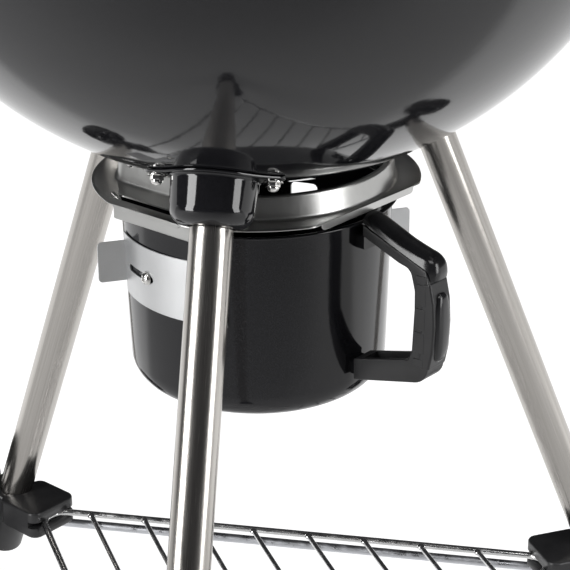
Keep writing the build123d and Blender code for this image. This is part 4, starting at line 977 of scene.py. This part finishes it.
def makeWheel(name, side, d):
    place = acrossX(side * d["x"], side)
    w, half = d["web"] / 2, d["width"] / 2
    line = roundedPath([(d["bore"], -half, 0.5 * mm), (d["hub"], -half, 1.5 * mm),
        (d["hub"] + 1.5 * mm, -w, 2.5 * mm), (d["rim"] - 7 * mm, -w, 3 * mm),
        (d["rim"] - 5.5 * mm, -13 * mm, 1 * mm), (d["rim"] - 0.02 * mm, -13 * mm, 0.6 * mm),
        (d["rim"] - 0.02 * mm, 13 * mm, 0.6 * mm), (d["rim"] - 5.5 * mm, 13 * mm, 1 * mm),
        (d["rim"] - 7 * mm, w, 3 * mm), (d["hub"] + 1.5 * mm, w, 2.5 * mm), (d["hub"], half, 1.5 * mm),
        (d["bore"], half, 0.5 * mm)], 5, True)
    wheel = lathe(name, line, place, 144)
    middle = (d["rim"] + d["hub"]) / 2 - 1 * mm
    for k in range(d["spokes"]):
        spin = place @ Matrix.Rotation(2 * pi * k / d["spokes"], 4, "Z")
        hole = [(10 * mm * cos(t * pi / 24) + middle, 10 * mm * sin(t * pi / 24)) for t in range(48)]
        cutBy(wheel, slab("wheelHole", hole, -4 * mm, 4 * mm, spin))
    edgeSmooth(wheel, 35)
    ribs = []
    for k in range(d["spokes"]):
        spin = place @ Matrix.Rotation(2 * pi * (k + 0.5) / d["spokes"], 4, "Z")
        for face in (-1, 1):
            at = spin @ moved(((d["hub"] + d["rim"]) / 2 - 1 * mm, 0, face * (w + 2.6 * mm)))
            ribs.append(roundedBox("wheelRib", (d["rim"] - d["hub"] - 4 * mm, 3 * mm, 5.6 * mm), at,
                0.6 * mm, 2))
    return joined(name, [wheel] + ribs)


# Solid tyre with two rows of shallow tread blocks
def makeTyre(name, side, d):
    place = acrossX(side * d["x"], side)
    rim, out = d["rim"] + 0.02 * mm, d["radius"] - 1.0 * mm
    line = roundedPath([(rim, -14 * mm, 0.4 * mm), (out - 3 * mm, -15 * mm, 2.0 * mm),
        (out, -11 * mm, 4 * mm), (out + 0.3 * mm, 0, 20 * mm), (out, 11 * mm, 4 * mm),
        (out - 3 * mm, 15 * mm, 2.0 * mm), (rim, 14 * mm, 0.4 * mm)], 6, True)
    tyre = edgeSmooth(lathe(name, line, place, 176), 45)
    blocks = []
    for row in range(d["treadRows"]):
        for k in range(d["treads"]):
            spin = place @ Matrix.Rotation(2 * pi * (k + 0.5 * row) / d["treads"], 4, "Z")
            at = spin @ moved((d["radius"] - 0.95 * mm, 0, (row - 0.5) * 12 * mm))
            at = at @ Matrix.Rotation(radians(18 * (1 - 2 * row)), 4, "X")
            blocks.append(roundedBox("treadBlock", (1.8 * mm, 6.4 * mm, 10 * mm), at, 0.3 * mm, 1))
    return joined(name, [tyre] + blocks)


for side, sign in (("left", -1), ("right", 1)):
    fitted(makeWheel("spoked_wheel_" + side, sign, wheelShape), "wheel_" + side, "black_nylon", nylon,
        "wheel_" + side)
    fitted(makeTyre("tread_tyre_" + side, sign, wheelShape), "wheel_" + side, "tyre_rubber", rubber,
        "tyre_" + side)
print("wheels ready")

# Wire shelf and its clamps
shelfShape = {"z": 100.0 * mm, "side": 139.0 * mm, "corner": 18.0 * mm, "rimWire": 3.0 * mm,
    "barWire": 2.2 * mm, "pitch": 44.0 * mm, "barTurn": -60.0, "clampInner": 254.0 * mm,
    "clampOuter": 304.0 * mm, "clampWide": 52.0 * mm, "clampHalf": 13.0 * mm, "sleeve": 21.0 * mm}


# Round wire along level points, all at one height
def wireAlong(name, path, radius, closed=False, count=20):
    loops = []
    for i, p in enumerate(path):
        before = path[i - 1] if closed else path[max(i - 1, 0)]
        after = path[(i + 1) % len(path)] if closed else path[min(i + 1, len(path) - 1)]
        across = (after - before).normalized().cross(Vector((0, 0, 1)))
        loops.append([p + across * radius * cos(2 * pi * k / count)
            + Vector((0, 0, radius * sin(2 * pi * k / count))) for k in range(count)])
    return edgeSmooth(skinLoops(name, loops, Matrix.Identity(4), closeEnds=not closed, wrap=closed), 50)


def makeShelf(d):
    corners = [spot(turn, 2 * d["side"], d["z"]) for turn in (0, 120, 240)]
    rim = [Vector((p.x, p.y, d["z"])) for p in roundedPath([(c.x, c.y, d["corner"]) for c in corners], 12,
        True)]
    parts = [wireAlong("rim", rim, d["rimWire"], True)]
    inward = d["side"] - d["pitch"]
    while inward > d["pitch"] / 2 - 2 * d["side"]:
        half = (inward + 2 * d["side"]) / sqrt(3)
        middle = spot(d["barTurn"], inward, d["z"])
        run = sideways(d["barTurn"])
        parts.append(wireAlong("bar", [middle - run * half, middle + run * half], d["barWire"]))
        for end in (-1, 1):            # weld at the end of the bar
            weld = bmesh.new()
            bmesh.ops.create_icosphere(weld, subdivisions=2, radius=d["barWire"] * 1.35)
            bead = bpy.data.meshes.new("weld")
            weld.to_mesh(bead)
            weld.free()
            bead.transform(Matrix.Translation(middle + run * (end * (half - 3.4 * mm)))
                @ Matrix.Diagonal((1.3, 1.3, 0.9, 1)))
            bead.polygons.foreach_set("use_smooth", [True] * len(bead.polygons))
            weldPiece = bpy.data.objects.new("weld", bead)
            bpy.context.scene.collection.objects.link(weldPiece)
            parts.append(weldPiece)
        inward -= d["pitch"]
    return joined("triangle_wire_shelf", parts)


# Moulded clamp round a leg with a slot for the shelf's corner
def makeClamp(turn, d):
    sleeveLength = legDistance(2 * d["clampHalf"], 0)
    sleeve = lathe("clampSleeve", roundedPath([(15.05 * mm, 0, 0.6 * mm), (d["sleeve"], 0, 2.5 * mm),
        (d["sleeve"], sleeveLength, 2.5 * mm), (15.05 * mm, sleeveLength, 0.6 * mm)], 5, True),
        legPlace(turn, d["z"] + d["clampHalf"]), 72)
    place = levelPlace(d["z"], turn)
    half = d["clampWide"] / 2
    line = roundedPath([(d["clampInner"], -half, 9 * mm), (d["clampOuter"], -half, 9 * mm),
        (d["clampOuter"], half, 9 * mm), (d["clampInner"], half, 9 * mm)], 8, True)
    block = slab("clampBlock", line, -d["clampHalf"], d["clampHalf"], place, 2.2 * mm, 4)
    deep = 2 * d["side"] - d["corner"] + d["rimWire"] + 0.1 * mm - d["clampInner"]
    cutBy(block, roundedBox("clampSlot", (2 * deep, 0.12, 2 * (d["rimWire"] + 0.05 * mm)),
        place @ moved((d["clampInner"], 0, 0)), 0))
    cutBy(block, lathe("clampBore", [(0, -0.1), (15.05 * mm, -0.1), (15.05 * mm, 0.1), (0, 0.1)],
        legPlace(turn, d["z"]), 72))
    return [edgeSmooth(sleeve, 40), edgeSmooth(block, 40)]


fitted(makeShelf(shelfShape), "root", "grate_plate", gratePlate, "wire_shelf")
fitted(joined("moulded_shelf_clamps", makeClamp(0.0, shelfShape) + makeClamp(120.0, shelfShape)
    + makeClamp(-120.0, shelfShape)), "root", "black_nylon", nylon, "shelf_clips")
print("shelf ready")

# Lid
lidShape = {"base": bowlRimZ + 3.5 * mm, "height": 190.0 * mm, "step": 283.0 * mm, "brim": 292.5 * mm,
    "sheet": 1.4 * mm, "skirt": 9.0 * mm, "ventTurn": -135.0, "ventReach": 150.0 * mm, "boss": 45.0 * mm,
    "bossRise": 4.5 * mm, "holes": 4, "hole": 9.0 * mm, "pitch": 24.0 * mm, "gaugeTurn": 0.0,
    "gaugeReach": 172.0 * mm, "gaugeBoss": 30.0 * mm, "gaugeRise": 3.0 * mm}
lidRadius = (lidShape["step"] ** 2 + lidShape["height"] ** 2) / (2 * lidShape["height"])
lidTop = lidShape["base"] + lidShape["height"]
lidCentre = lidTop - lidRadius
ventPlace = spherePlace(lidShape["ventTurn"], lidShape["ventReach"], lidCentre, lidRadius, 1)
gaugePlace = spherePlace(lidShape["gaugeTurn"], lidShape["gaugeReach"], lidCentre, lidRadius, 1)


def onDome(r, shell):                  # height below the touching plane at that distance from its middle
    return sqrt(shell ** 2 - r ** 2) - shell


# Pressed flat boss: dome surface, a short rounded flank, a flat top, all of one thickness
def makeBoss(name, place, radius, rise, d):
    outer = radius + 6 * mm
    top = rise
    line = [(outer, onDome(outer, lidRadius), 0), (radius + 1.2 * mm, onDome(radius + 1.2 * mm, lidRadius),
        2 * mm), (radius - 1.6 * mm, top, 2 * mm), (0, top, 0)]
    inner = [(0, top - d["sheet"], 0), (radius - 2.4 * mm, top - d["sheet"], 1.2 * mm),
        (radius + 0.2 * mm, onDome(radius, lidRadius) - d["sheet"], 2.5 * mm),
        (outer, onDome(outer, lidRadius) - d["sheet"], 0)]
    return lathe(name, roundedPath(line, 6) + roundedPath(inner, 6), place, 128)


def makeLid(d):
    span = degrees(asin(d["step"] / lidRadius))
    outer = arcPath((0, lidCentre), lidRadius, 90, 90 - span + 0.4, 90)
    inner = arcPath((0, lidCentre), lidRadius - d["sheet"], 90 - span + 0.4, 90, 90)
    t = d["sheet"]
    brim = roundedPath([(outer[-1].x, outer[-1].y, 0), (d["step"] + 0.4 * mm, d["base"] + t, 2 * mm),
        (d["brim"], d["base"] + t, 2.4 * mm), (d["brim"], d["base"] - d["skirt"], 0.7 * mm),
        (d["brim"] - t, d["base"] - d["skirt"], 0.7 * mm), (d["brim"] - t, d["base"], 1.2 * mm),
        (d["step"] - 1.2 * mm, d["base"], 1.5 * mm), (inner[0].x, inner[0].y, 0)], 6)
    roll = arcPath((d["brim"] - 1.7 * mm, d["base"] - d["skirt"]), 1.7 * mm, 0, -180, 10)
    brim = [p for p in brim if p.y > d["base"] - d["skirt"] + 0.9 * mm]
    cut = max(i for i, p in enumerate(brim) if p.x > d["brim"] - 0.05 * mm) + 1
    lid = lathe("domed_lid", outer + brim[1:cut] + roll + brim[cut:-1] + inner, moved((0, axisY, 0)), 288)
    for place, radius in ((ventPlace, d["boss"]), (gaugePlace, d["gaugeBoss"])):
        cutBy(lid, slab("bossCutter", [((radius + 5.9 * mm) * cos(a * pi / 64),
            (radius + 5.9 * mm) * sin(a * pi / 64)) for a in range(128)], -25 * mm, 25 * mm, place))
    vent = makeBoss("ventBoss", ventPlace, d["boss"], d["bossRise"], d)
    gauge = makeBoss("gaugeBoss", gaugePlace, d["gaugeBoss"], d["gaugeRise"], d)
    for k in range(d["holes"]):
        at = ventPlace @ Matrix.Rotation(pi / 2 * k, 4, "Z") @ moved((d["pitch"], 0, 0))
        cutBy(vent, drill(d["hole"], at, 48))
    cutBy(gauge, drill(4.1 * mm, gaugePlace, 32))
    for piece in (lid, vent, gauge):
        edgeSmooth(piece, 40)
    return joined("domed_lid", [lid, vent, gauge])


fitted(makeLid(lidShape), "lid", "black_enamel", enamel, "lid")

ventTop = ventPlace @ moved((0, 0, lidShape["bossRise"] + 0.15 * mm))
damperShape = {"radius": 38.5 * mm, "sheet": 1.2 * mm, "hole": 9.0 * mm, "tabWidth": 14.0 * mm}


def makeLidDamper(d):
    disc = lathe("lidDamperDisc", roundedPath([(2.55 * mm, 0, 0), (d["radius"], 0, 0.4 * mm),
        (d["radius"], d["sheet"], 0.4 * mm), (2.55 * mm, d["sheet"], 0)], 3, True), ventTop, 96)
    for k in range(lidShape["holes"]):
        at = ventTop @ Matrix.Rotation(pi / 2 * k, 4, "Z") @ moved((lidShape["pitch"], 0, 0))
        cutBy(disc, drill(d["hole"], at, 48))
    edgeSmooth(disc, 40)
    across = ventTop @ Matrix(((1, 0, 0, 0), (0, 0, -1, 0), (0, 1, 0, 0), (0, 0, 0, 1)))
    tabLine = outlineMm([(34, 0.1, 0), (44.2, 0.1, 2.2), (44.2, 14.6, 0.4), (43.0, 14.6, 0.4),
        (43.0, 1.3, 1.0), (34, 1.3, 0)], 6, True)
    tab = slab("lidDamperTab", tabLine, -d["tabWidth"] / 2, d["tabWidth"] / 2, across, 0.3 * mm, 2)
    return joined("lid_air_disc", [disc, tab])


fitted(makeLidDamper(damperShape), "lid_damper", "damper_aluminium", bandMetal, "lid_damper")
rivetLine = outlineMm([(0, 3.1, 0), (2.4, 3.0, 2), (5, 1.5, 0.6), (5, 1.25, 0), (2.5, 1.25, 0),
    (2.5, -1.6, 0), (4.5, -1.65, 0), (4.3, -2.9, 0.6), (0, -3.0, 0)], 5)
fitted(edgeSmooth(lathe("lid_damper_rivet_domed", rivetLine, ventTop, 48)), "lid", "bright_plate",
    brightPlate, "lid_damper_rivet")
print("lid ready")

# Lid handle
barShape = {"length": 160.0 * mm, "wide": 14.0 * mm, "tall": 9.0 * mm, "z": lidTop + 40.0 * mm,
    "postX": 50.0 * mm, "plateZ": lidTop + 7.0 * mm, "plateLong": 170.0 * mm, "plateWide": 60.0 * mm,
    "plateSheet": 1.4 * mm}


def ovalLoop(x, wide, tall, z, power, count=48):
    loop = []
    for k in range(count):
        c, s = cos(2 * pi * k / count), sin(2 * pi * k / count)
        loop.append(Vector((x, axisY + copysign(abs(c) ** (2 / power), c) * wide,
            z + copysign(abs(s) ** (2 / power), s) * tall)))
    return loop


def makeBar(d):
    loops, half = [], d["length"] / 2
    for k in range(-30, 31):
        share = k / 30
        x = half * share
        end = max(0.0, (abs(x) - (half - 9 * mm)) / (9 * mm))
        shrink = sqrt(max(0.0, 1 - end ** 2)) * 0.42 + 0.58
        waist = 1 - 0.06 * exp(-((abs(x) - 30 * mm) / (14 * mm)) ** 2)
        loops.append(ovalLoop(x, d["wide"] * shrink * waist, d["tall"] * shrink, d["z"], 2.3))
    return edgeSmooth(skinLoops("lid_grip_bar", loops, Matrix.Identity(4), closeEnds=True), 50)


fitted(makeBar(barShape), "lid", "black_nylon", nylon, "lid_handle_bar")
parts = []
for sign in (-1, 1):
    seatZ = lidCentre + sqrt(lidRadius ** 2 - (41 * mm) ** 2) + 0.1 * mm
    top = barShape["z"] - 8.9 * mm
    post = moved((sign * barShape["postX"], axisY, 0))
    line = roundedPath([(0, seatZ, 0), (9.0 * mm, seatZ, 0.8 * mm), (8.6 * mm, seatZ + 9 * mm, 1 * mm),
        (7.0 * mm, seatZ + 12 * mm, 2 * mm), (6.6 * mm, top - 5 * mm, 2 * mm),
        (8.2 * mm, top - 0.5 * mm, 1 * mm), (8.2 * mm, top + 1.5 * mm, 0), (0, top + 1.5 * mm, 0)], 6)
    parts.append(edgeSmooth(lathe("post", line, post, 64), 40))
fitted(joined("lid_handle_turned_posts", parts), "lid", "bright_plate", brightPlate, "lid_handle_posts")


def makeHeatPlate(d):
    half = (d["plateLong"] - d["plateWide"]) / 2
    line = [(half + d["plateWide"] / 2 * cos(a * pi / 24), d["plateWide"] / 2 * sin(a * pi / 24))
        for a in range(-12, 13)]
    line += [(-half + d["plateWide"] / 2 * cos(a * pi / 24), d["plateWide"] / 2 * sin(a * pi / 24))
        for a in range(12, 37)]
    plate = slab("lid_heat_shield", line, 0, d["plateSheet"], moved((0, axisY, d["plateZ"])))
    for sign in (-1, 1):
        at = moved((sign * d["postX"], axisY, d["plateZ"]))
        cutBy(plate, drill(9.2 * mm, at, 64))
    return bevelled(plate, 0.3 * mm, 2, 40)


fitted(makeHeatPlate(barShape), "lid", "satin_stainless", ringSteel, "lid_heat_plate")

# Lid thermometer
gaugeSeat = gaugePlace @ moved((0, 0, lidShape["gaugeRise"] + 0.05 * mm))
gaugeShape = {"case": 25.0 * mm, "depth": 9.0 * mm, "firstTurn": 225.0, "sweep": 250.0, "steps": 6,
    "numberStep": 50, "numberSize": 3.6 * mm}


def makeCase(d):
    line = roundedPath([(0, -48 * mm, 0), (3 * mm, -47.6 * mm, 2 * mm), (4 * mm, -44 * mm, 1 * mm),
        (4 * mm, 0, 0), (d["case"], 0, 0.8 * mm), (d["case"], d["depth"], 1.6 * mm),
        (d["case"] - 2.5 * mm, d["depth"] - 0.6 * mm, 0.6 * mm), (d["case"] - 2.5 * mm, 2 * mm, 0),
        (0, 2 * mm, 0)], 6)
    return edgeSmooth(lathe("thermometer_bezel_case", line, gaugeSeat, 128), 40)


fitted(makeCase(gaugeShape), "lid", "bright_plate", brightPlate, "thermometer_case")
dialWhite = makePlastic("dialFace", (0.80, 0.79, 0.76), 0.45, 400.0, 0.05)
dialInk = makePlastic("dialInk", (0.02, 0.02, 0.02), 0.5, 400.0, 0.05)
needleRed = makePlastic("needleRed", (0.52, 0.03, 0.02), 0.4, 500.0, 0.05)
glass, glassNodes, glassLinks, glassShader = newMaterial("gaugeGlass", (1, 1, 1), 0.0, 0.02)
glassShader.inputs["Transmission Weight"].default_value = 1.0
glassShader.inputs["IOR"].default_value = 1.45
glassHaze = noiseOn(glassNodes, glassLinks, 90.0, 2.0)
glassLinks.new(rangeOf(glassNodes, glassLinks, glassHaze, 0.008, 0.05), glassShader.inputs["Roughness"])

dialTop = 2.85 * mm
dialDisc = lathe("thermometer_dial_disc", [(1.2 * mm, 2.05 * mm), (22.3 * mm, 2.05 * mm),
    (22.3 * mm, dialTop), (1.2 * mm, dialTop)], gaugeSeat, 96)
fitted(edgeSmooth(dialDisc), "lid", "dial_white", dialWhite, "thermometer_dial")


def makeDialMarks(d):
    marks = []
    count = d["steps"] * 5
    for k in range(count + 1):
        angle = radians(d["firstTurn"] - d["sweep"] * k / count)
        major = k % 5 == 0
        length = 3.4 * mm if major else 1.8 * mm
        at = gaugeSeat @ Matrix.Rotation(angle, 4, "Z") @ moved((20.6 * mm - length / 2, 0,
            dialTop + 0.05 * mm))
        marks.append(roundedBox("tick", (length, 0.55 * mm if major else 0.3 * mm, 0.12 * mm), at, 0))
    for k in range(d["steps"] + 1):
        angle = radians(d["firstTurn"] - d["sweep"] * k / d["steps"])
        curve = bpy.data.curves.new("number", "FONT")
        curve.body = str(d["numberStep"] * (k + 1))
        curve.size = d["numberSize"]
        curve.align_x, curve.align_y = "CENTER", "CENTER"
        curve.extrude = 0.06 * mm
        curve.resolution_u = 4
        text = bpy.data.objects.new("number", curve)
        bpy.context.scene.collection.objects.link(text)
        bpy.context.view_layer.update()
        mesh = bpy.data.meshes.new_from_object(text.evaluated_get(bpy.context.evaluated_depsgraph_get()))
        bpy.data.objects.remove(text)
        at = gaugeSeat @ moved((13.6 * mm * cos(angle), 13.6 * mm * sin(angle), dialTop + 0.05 * mm))
        mesh.transform(at)
        number = bpy.data.objects.new("number", mesh)
        bpy.context.scene.collection.objects.link(number)
        marks.append(number)
    return joined("thermometer_dial_numbers", marks)


fitted(makeDialMarks(gaugeShape), "lid", "dial_white", dialInk)
needle = slab("thermometer_pointer", outlineMm([(5.2, 1.5, 0.8), (-17.6, 0.25, 0.2), (-17.6, -0.25, 0.2),
    (5.2, -1.5, 0.8)], 4, True), 3.6 * mm, 4.2 * mm, gaugeSeat @ Matrix.Rotation(radians(45), 4, "Z"),
    0.1 * mm, 1)
hub = edgeSmooth(lathe("pointerHub", outlineMm([(0, 2.1, 0), (1.1, 2.1, 0), (1.1, 3.5, 0), (2.4, 3.5, 0.2),
    (2.4, 4.6, 0.6), (0, 4.8, 0)], 4), gaugeSeat, 48), 40)
fitted(joined("thermometer_pointer", [needle, hub]), "thermometer_needle", "needle_red", needleRed,
    "thermometer_needle")
lens = lathe("thermometer_lens", outlineMm([(0, 6.2, 0), (22.4, 6.2, 0.2), (22.4, 7.4, 0.5), (12, 7.75, 8),
    (0, 7.8, 0)], 6), gaugeSeat, 96)
fitted(edgeSmooth(lens, 40), "lid", "gauge_glass", glass, "thermometer_glass")
print("lid handle and thermometer ready")

# Side handles
sideShape = {"half": 62.0 * mm, "z": 706.0 * mm, "reach": 46.0 * mm, "bend": 14.0 * mm, "rod": 4.0 * mm,
    "gripHalf": 40.0 * mm, "gripTall": 15.0 * mm, "gripDeep": 12.0 * mm, "boss": 10.0 * mm}


def tubeAlong(name, path, radius, place, count=32):
    loops = []
    for i, p in enumerate(path):
        before, after = path[max(i - 1, 0)], path[min(i + 1, len(path) - 1)]
        along = (after - before).normalized()
        side = Vector((0, 1, 0))
        other = along.cross(side).normalized()
        loops.append([p + side * radius * cos(2 * pi * k / count)
            + other * radius * sin(2 * pi * k / count) for k in range(count)])
    return edgeSmooth(skinLoops(name, loops, place, closeEnds=True), 50)


def makeSideHandle(name, turn, d):
    reach = sqrt(bowlShape["radius"] ** 2 - (bowlCentre - d["z"]) ** 2)
    seat = facingPlace(turn, reach + 4 * mm, d["z"])
    flat = roundedPath([(-d["half"], 0.5 * mm, 0), (-d["half"], d["reach"], d["bend"]),
        (d["half"], d["reach"], d["bend"]), (d["half"], 0.5 * mm, 0)], 14)
    rod = tubeAlong("rod", [Vector((p.x, 0, p.y)) for p in flat], d["rod"], seat)
    collars = []
    for sign in (-1, 1):
        at = seat @ moved((sign * d["half"], 0, 0))
        line = roundedPath([(0, 0.1 * mm, 0), (d["boss"], 0.1 * mm, 1.2 * mm),
            (d["boss"], 3.0 * mm, 1.2 * mm), (5.2 * mm, 4.6 * mm, 1.6 * mm), (4.0 * mm, 7.5 * mm, 0),
            (0, 7.5 * mm, 0)], 5)
        collars.append(edgeSmooth(lathe("collar", line, at, 48), 40))
    bar = joined("side_handle_rod_" + name, [rod] + collars)
    loops = []
    for k in range(-24, 25):
        x = d["gripHalf"] * k / 24
        end = max(0.0, (abs(x) - (d["gripHalf"] - 5 * mm)) / (5 * mm))
        shrink = sqrt(max(0.0, 1 - end ** 2)) * 0.4 + 0.6
        swell = 1 - 0.10 * (x / d["gripHalf"]) ** 2
        loops.append([Vector((x, d["gripTall"] * shrink * swell * sin(2 * pi * a / 48),
            d["reach"] + d["gripDeep"] * shrink * swell * cos(2 * pi * a / 48))) for a in range(48)])
    grip = edgeSmooth(skinLoops("side_handle_sleeve_" + name, loops, seat, closeEnds=True), 50)
    return bar, grip


for name, turn in (("right", 90.0), ("left", -90.0)):
    bar, grip = makeSideHandle(name, turn, sideShape)
    fitted(bar, "root", "bright_plate", brightPlate, "side_handle_bar_" + name)
    fitted(grip, "root", "black_nylon", nylon, "side_handle_grip_" + name)
print("side handles ready")

# Finishes for the carried-over metalwork
kept = {"cooking_grate": gratePlate, "charcoal_grate": coalSteel, "charcoal_grate_rests": zincPlate,
    "cooking_grate_rests": zincPlate, "pot_handle_brackets": potEnamel, "side_handle_bolts": brightPlate,
    "lid_handle_bolts": brightPlate, "thermometer_nut": zincPlate}
for name, material in kept.items():
    for place in nodes[name].material_slots:
        place.material = material
    if not nodes[name].material_slots:
        nodes[name].data.materials.append(material)

# Floor, lights and camera
floorSize = 14.0
floor = pieceFrom("studio_floor", [(-floorSize, -floorSize, -0.4 * mm), (floorSize, -floorSize, -0.4 * mm),
    (floorSize, floorSize, -0.4 * mm), (-floorSize, floorSize, -0.4 * mm)], [(0, 1, 2, 3)], smooth=False)
floorMat, floorNodes, floorLinks, floorShader = newMaterial("studioFloor", (0.5, 0.5, 0.5), 0.0, 0.8)
floorTone = noiseOn(floorNodes, floorLinks, 0.8, 2.0)
floorLinks.new(blendColours(floorNodes, floorLinks, floorTone, (0.40, 0.40, 0.40), (0.44, 0.44, 0.44)),
    floorShader.inputs["Base Color"])
floorShader.inputs["Emission Color"].default_value = (1, 1, 1, 1)
# painted light: the floor glows by emission, bright behind the grill and falling off in front of it as
# painted shade
floorPlace = floorNodes.new("ShaderNodeTexCoord")
floorSplit = floorNodes.new("ShaderNodeSeparateXYZ")
floorLinks.new(floorPlace.outputs["Object"], floorSplit.inputs["Vector"])
floorGlowCurve = floorNodes.new("ShaderNodeFloatCurve")
floorGlowReach = floorNodes.new("ShaderNodeMapRange")
floorGlowReach.inputs["From Min"].default_value = -1.5
floorGlowReach.inputs["From Max"].default_value = 0.5
floorLinks.new(floorSplit.outputs["Y"], floorGlowReach.inputs["Value"])
floorLinks.new(floorGlowReach.outputs["Result"], floorGlowCurve.inputs["Value"])
steps = floorGlowCurve.mapping.curves[0].points
steps[0].location, steps[1].location = (0.0, 0.02), (1.0, 1.0)
for at, level in ((0.40, 0.06), (0.62, 0.34), (0.80, 0.42), (0.88, 1.0)):
    steps.new(at, level)
floorGlowCurve.mapping.update()
# painted light: the floor's emission strength follows this curve, darker in front as painted shade
floorLinks.new(floorGlowCurve.outputs["Value"], floorShader.inputs["Emission Strength"])
floor.data.materials.append(floorMat)

scene = bpy.context.scene
scene.view_settings.view_transform = "Standard"
world = bpy.data.worlds.new("studio")
world.use_nodes = True
world.node_tree.nodes["Background"].inputs["Color"].default_value = (0.04, 0.04, 0.042, 1)
world.node_tree.nodes["Background"].inputs["Strength"].default_value = 1.0
scene.world = world


def addSoftbox(name, turn, distance, middleZ, wide, tall, power):
    data = bpy.data.lights.new(name, "AREA")
    data.shape = "RECTANGLE"
    data.size, data.size_y = wide, tall
    data.energy = power
    lamp = bpy.data.objects.new(name, data)
    scene.collection.objects.link(lamp)
    place = spot(turn, distance, middleZ)
    target = Vector((0, axisY, ringZ))
    lamp.location = place
    lamp.rotation_mode = "QUATERNION"
    lamp.rotation_quaternion = (target - place).to_track_quat("-Z", "Y")
    lamp.visible_camera = False


addSoftbox("left_softbox", -46.0, 1.7, 0.80, 0.66, 1.5, 30.0)
addSoftbox("right_softbox", 72.0, 1.7, 0.80, 0.55, 1.4, 16.0)
addSoftbox("overhead_softbox", 20.0, 0.9, 2.3, 1.2, 1.2, 22.0)

cameraData = bpy.data.cameras.new("view")
cameraData.lens = 111.91
cameraData.sensor_width = 36.0
camera = bpy.data.objects.new("view", cameraData)
scene.collection.objects.link(camera)
right = Vector((0.98187895, 0.18942469, -0.00565895))
forward = Vector((-0.17702505, 0.9061286, -0.38417847))
up = right.cross(forward).normalized()
turned = Matrix((right, up, -forward)).transposed().to_4x4()
camera.matrix_world = moved((0.26135, axisY - 1.22957, ringZ + 0.43221)) @ turned
scene.camera = camera
print("stage ready")
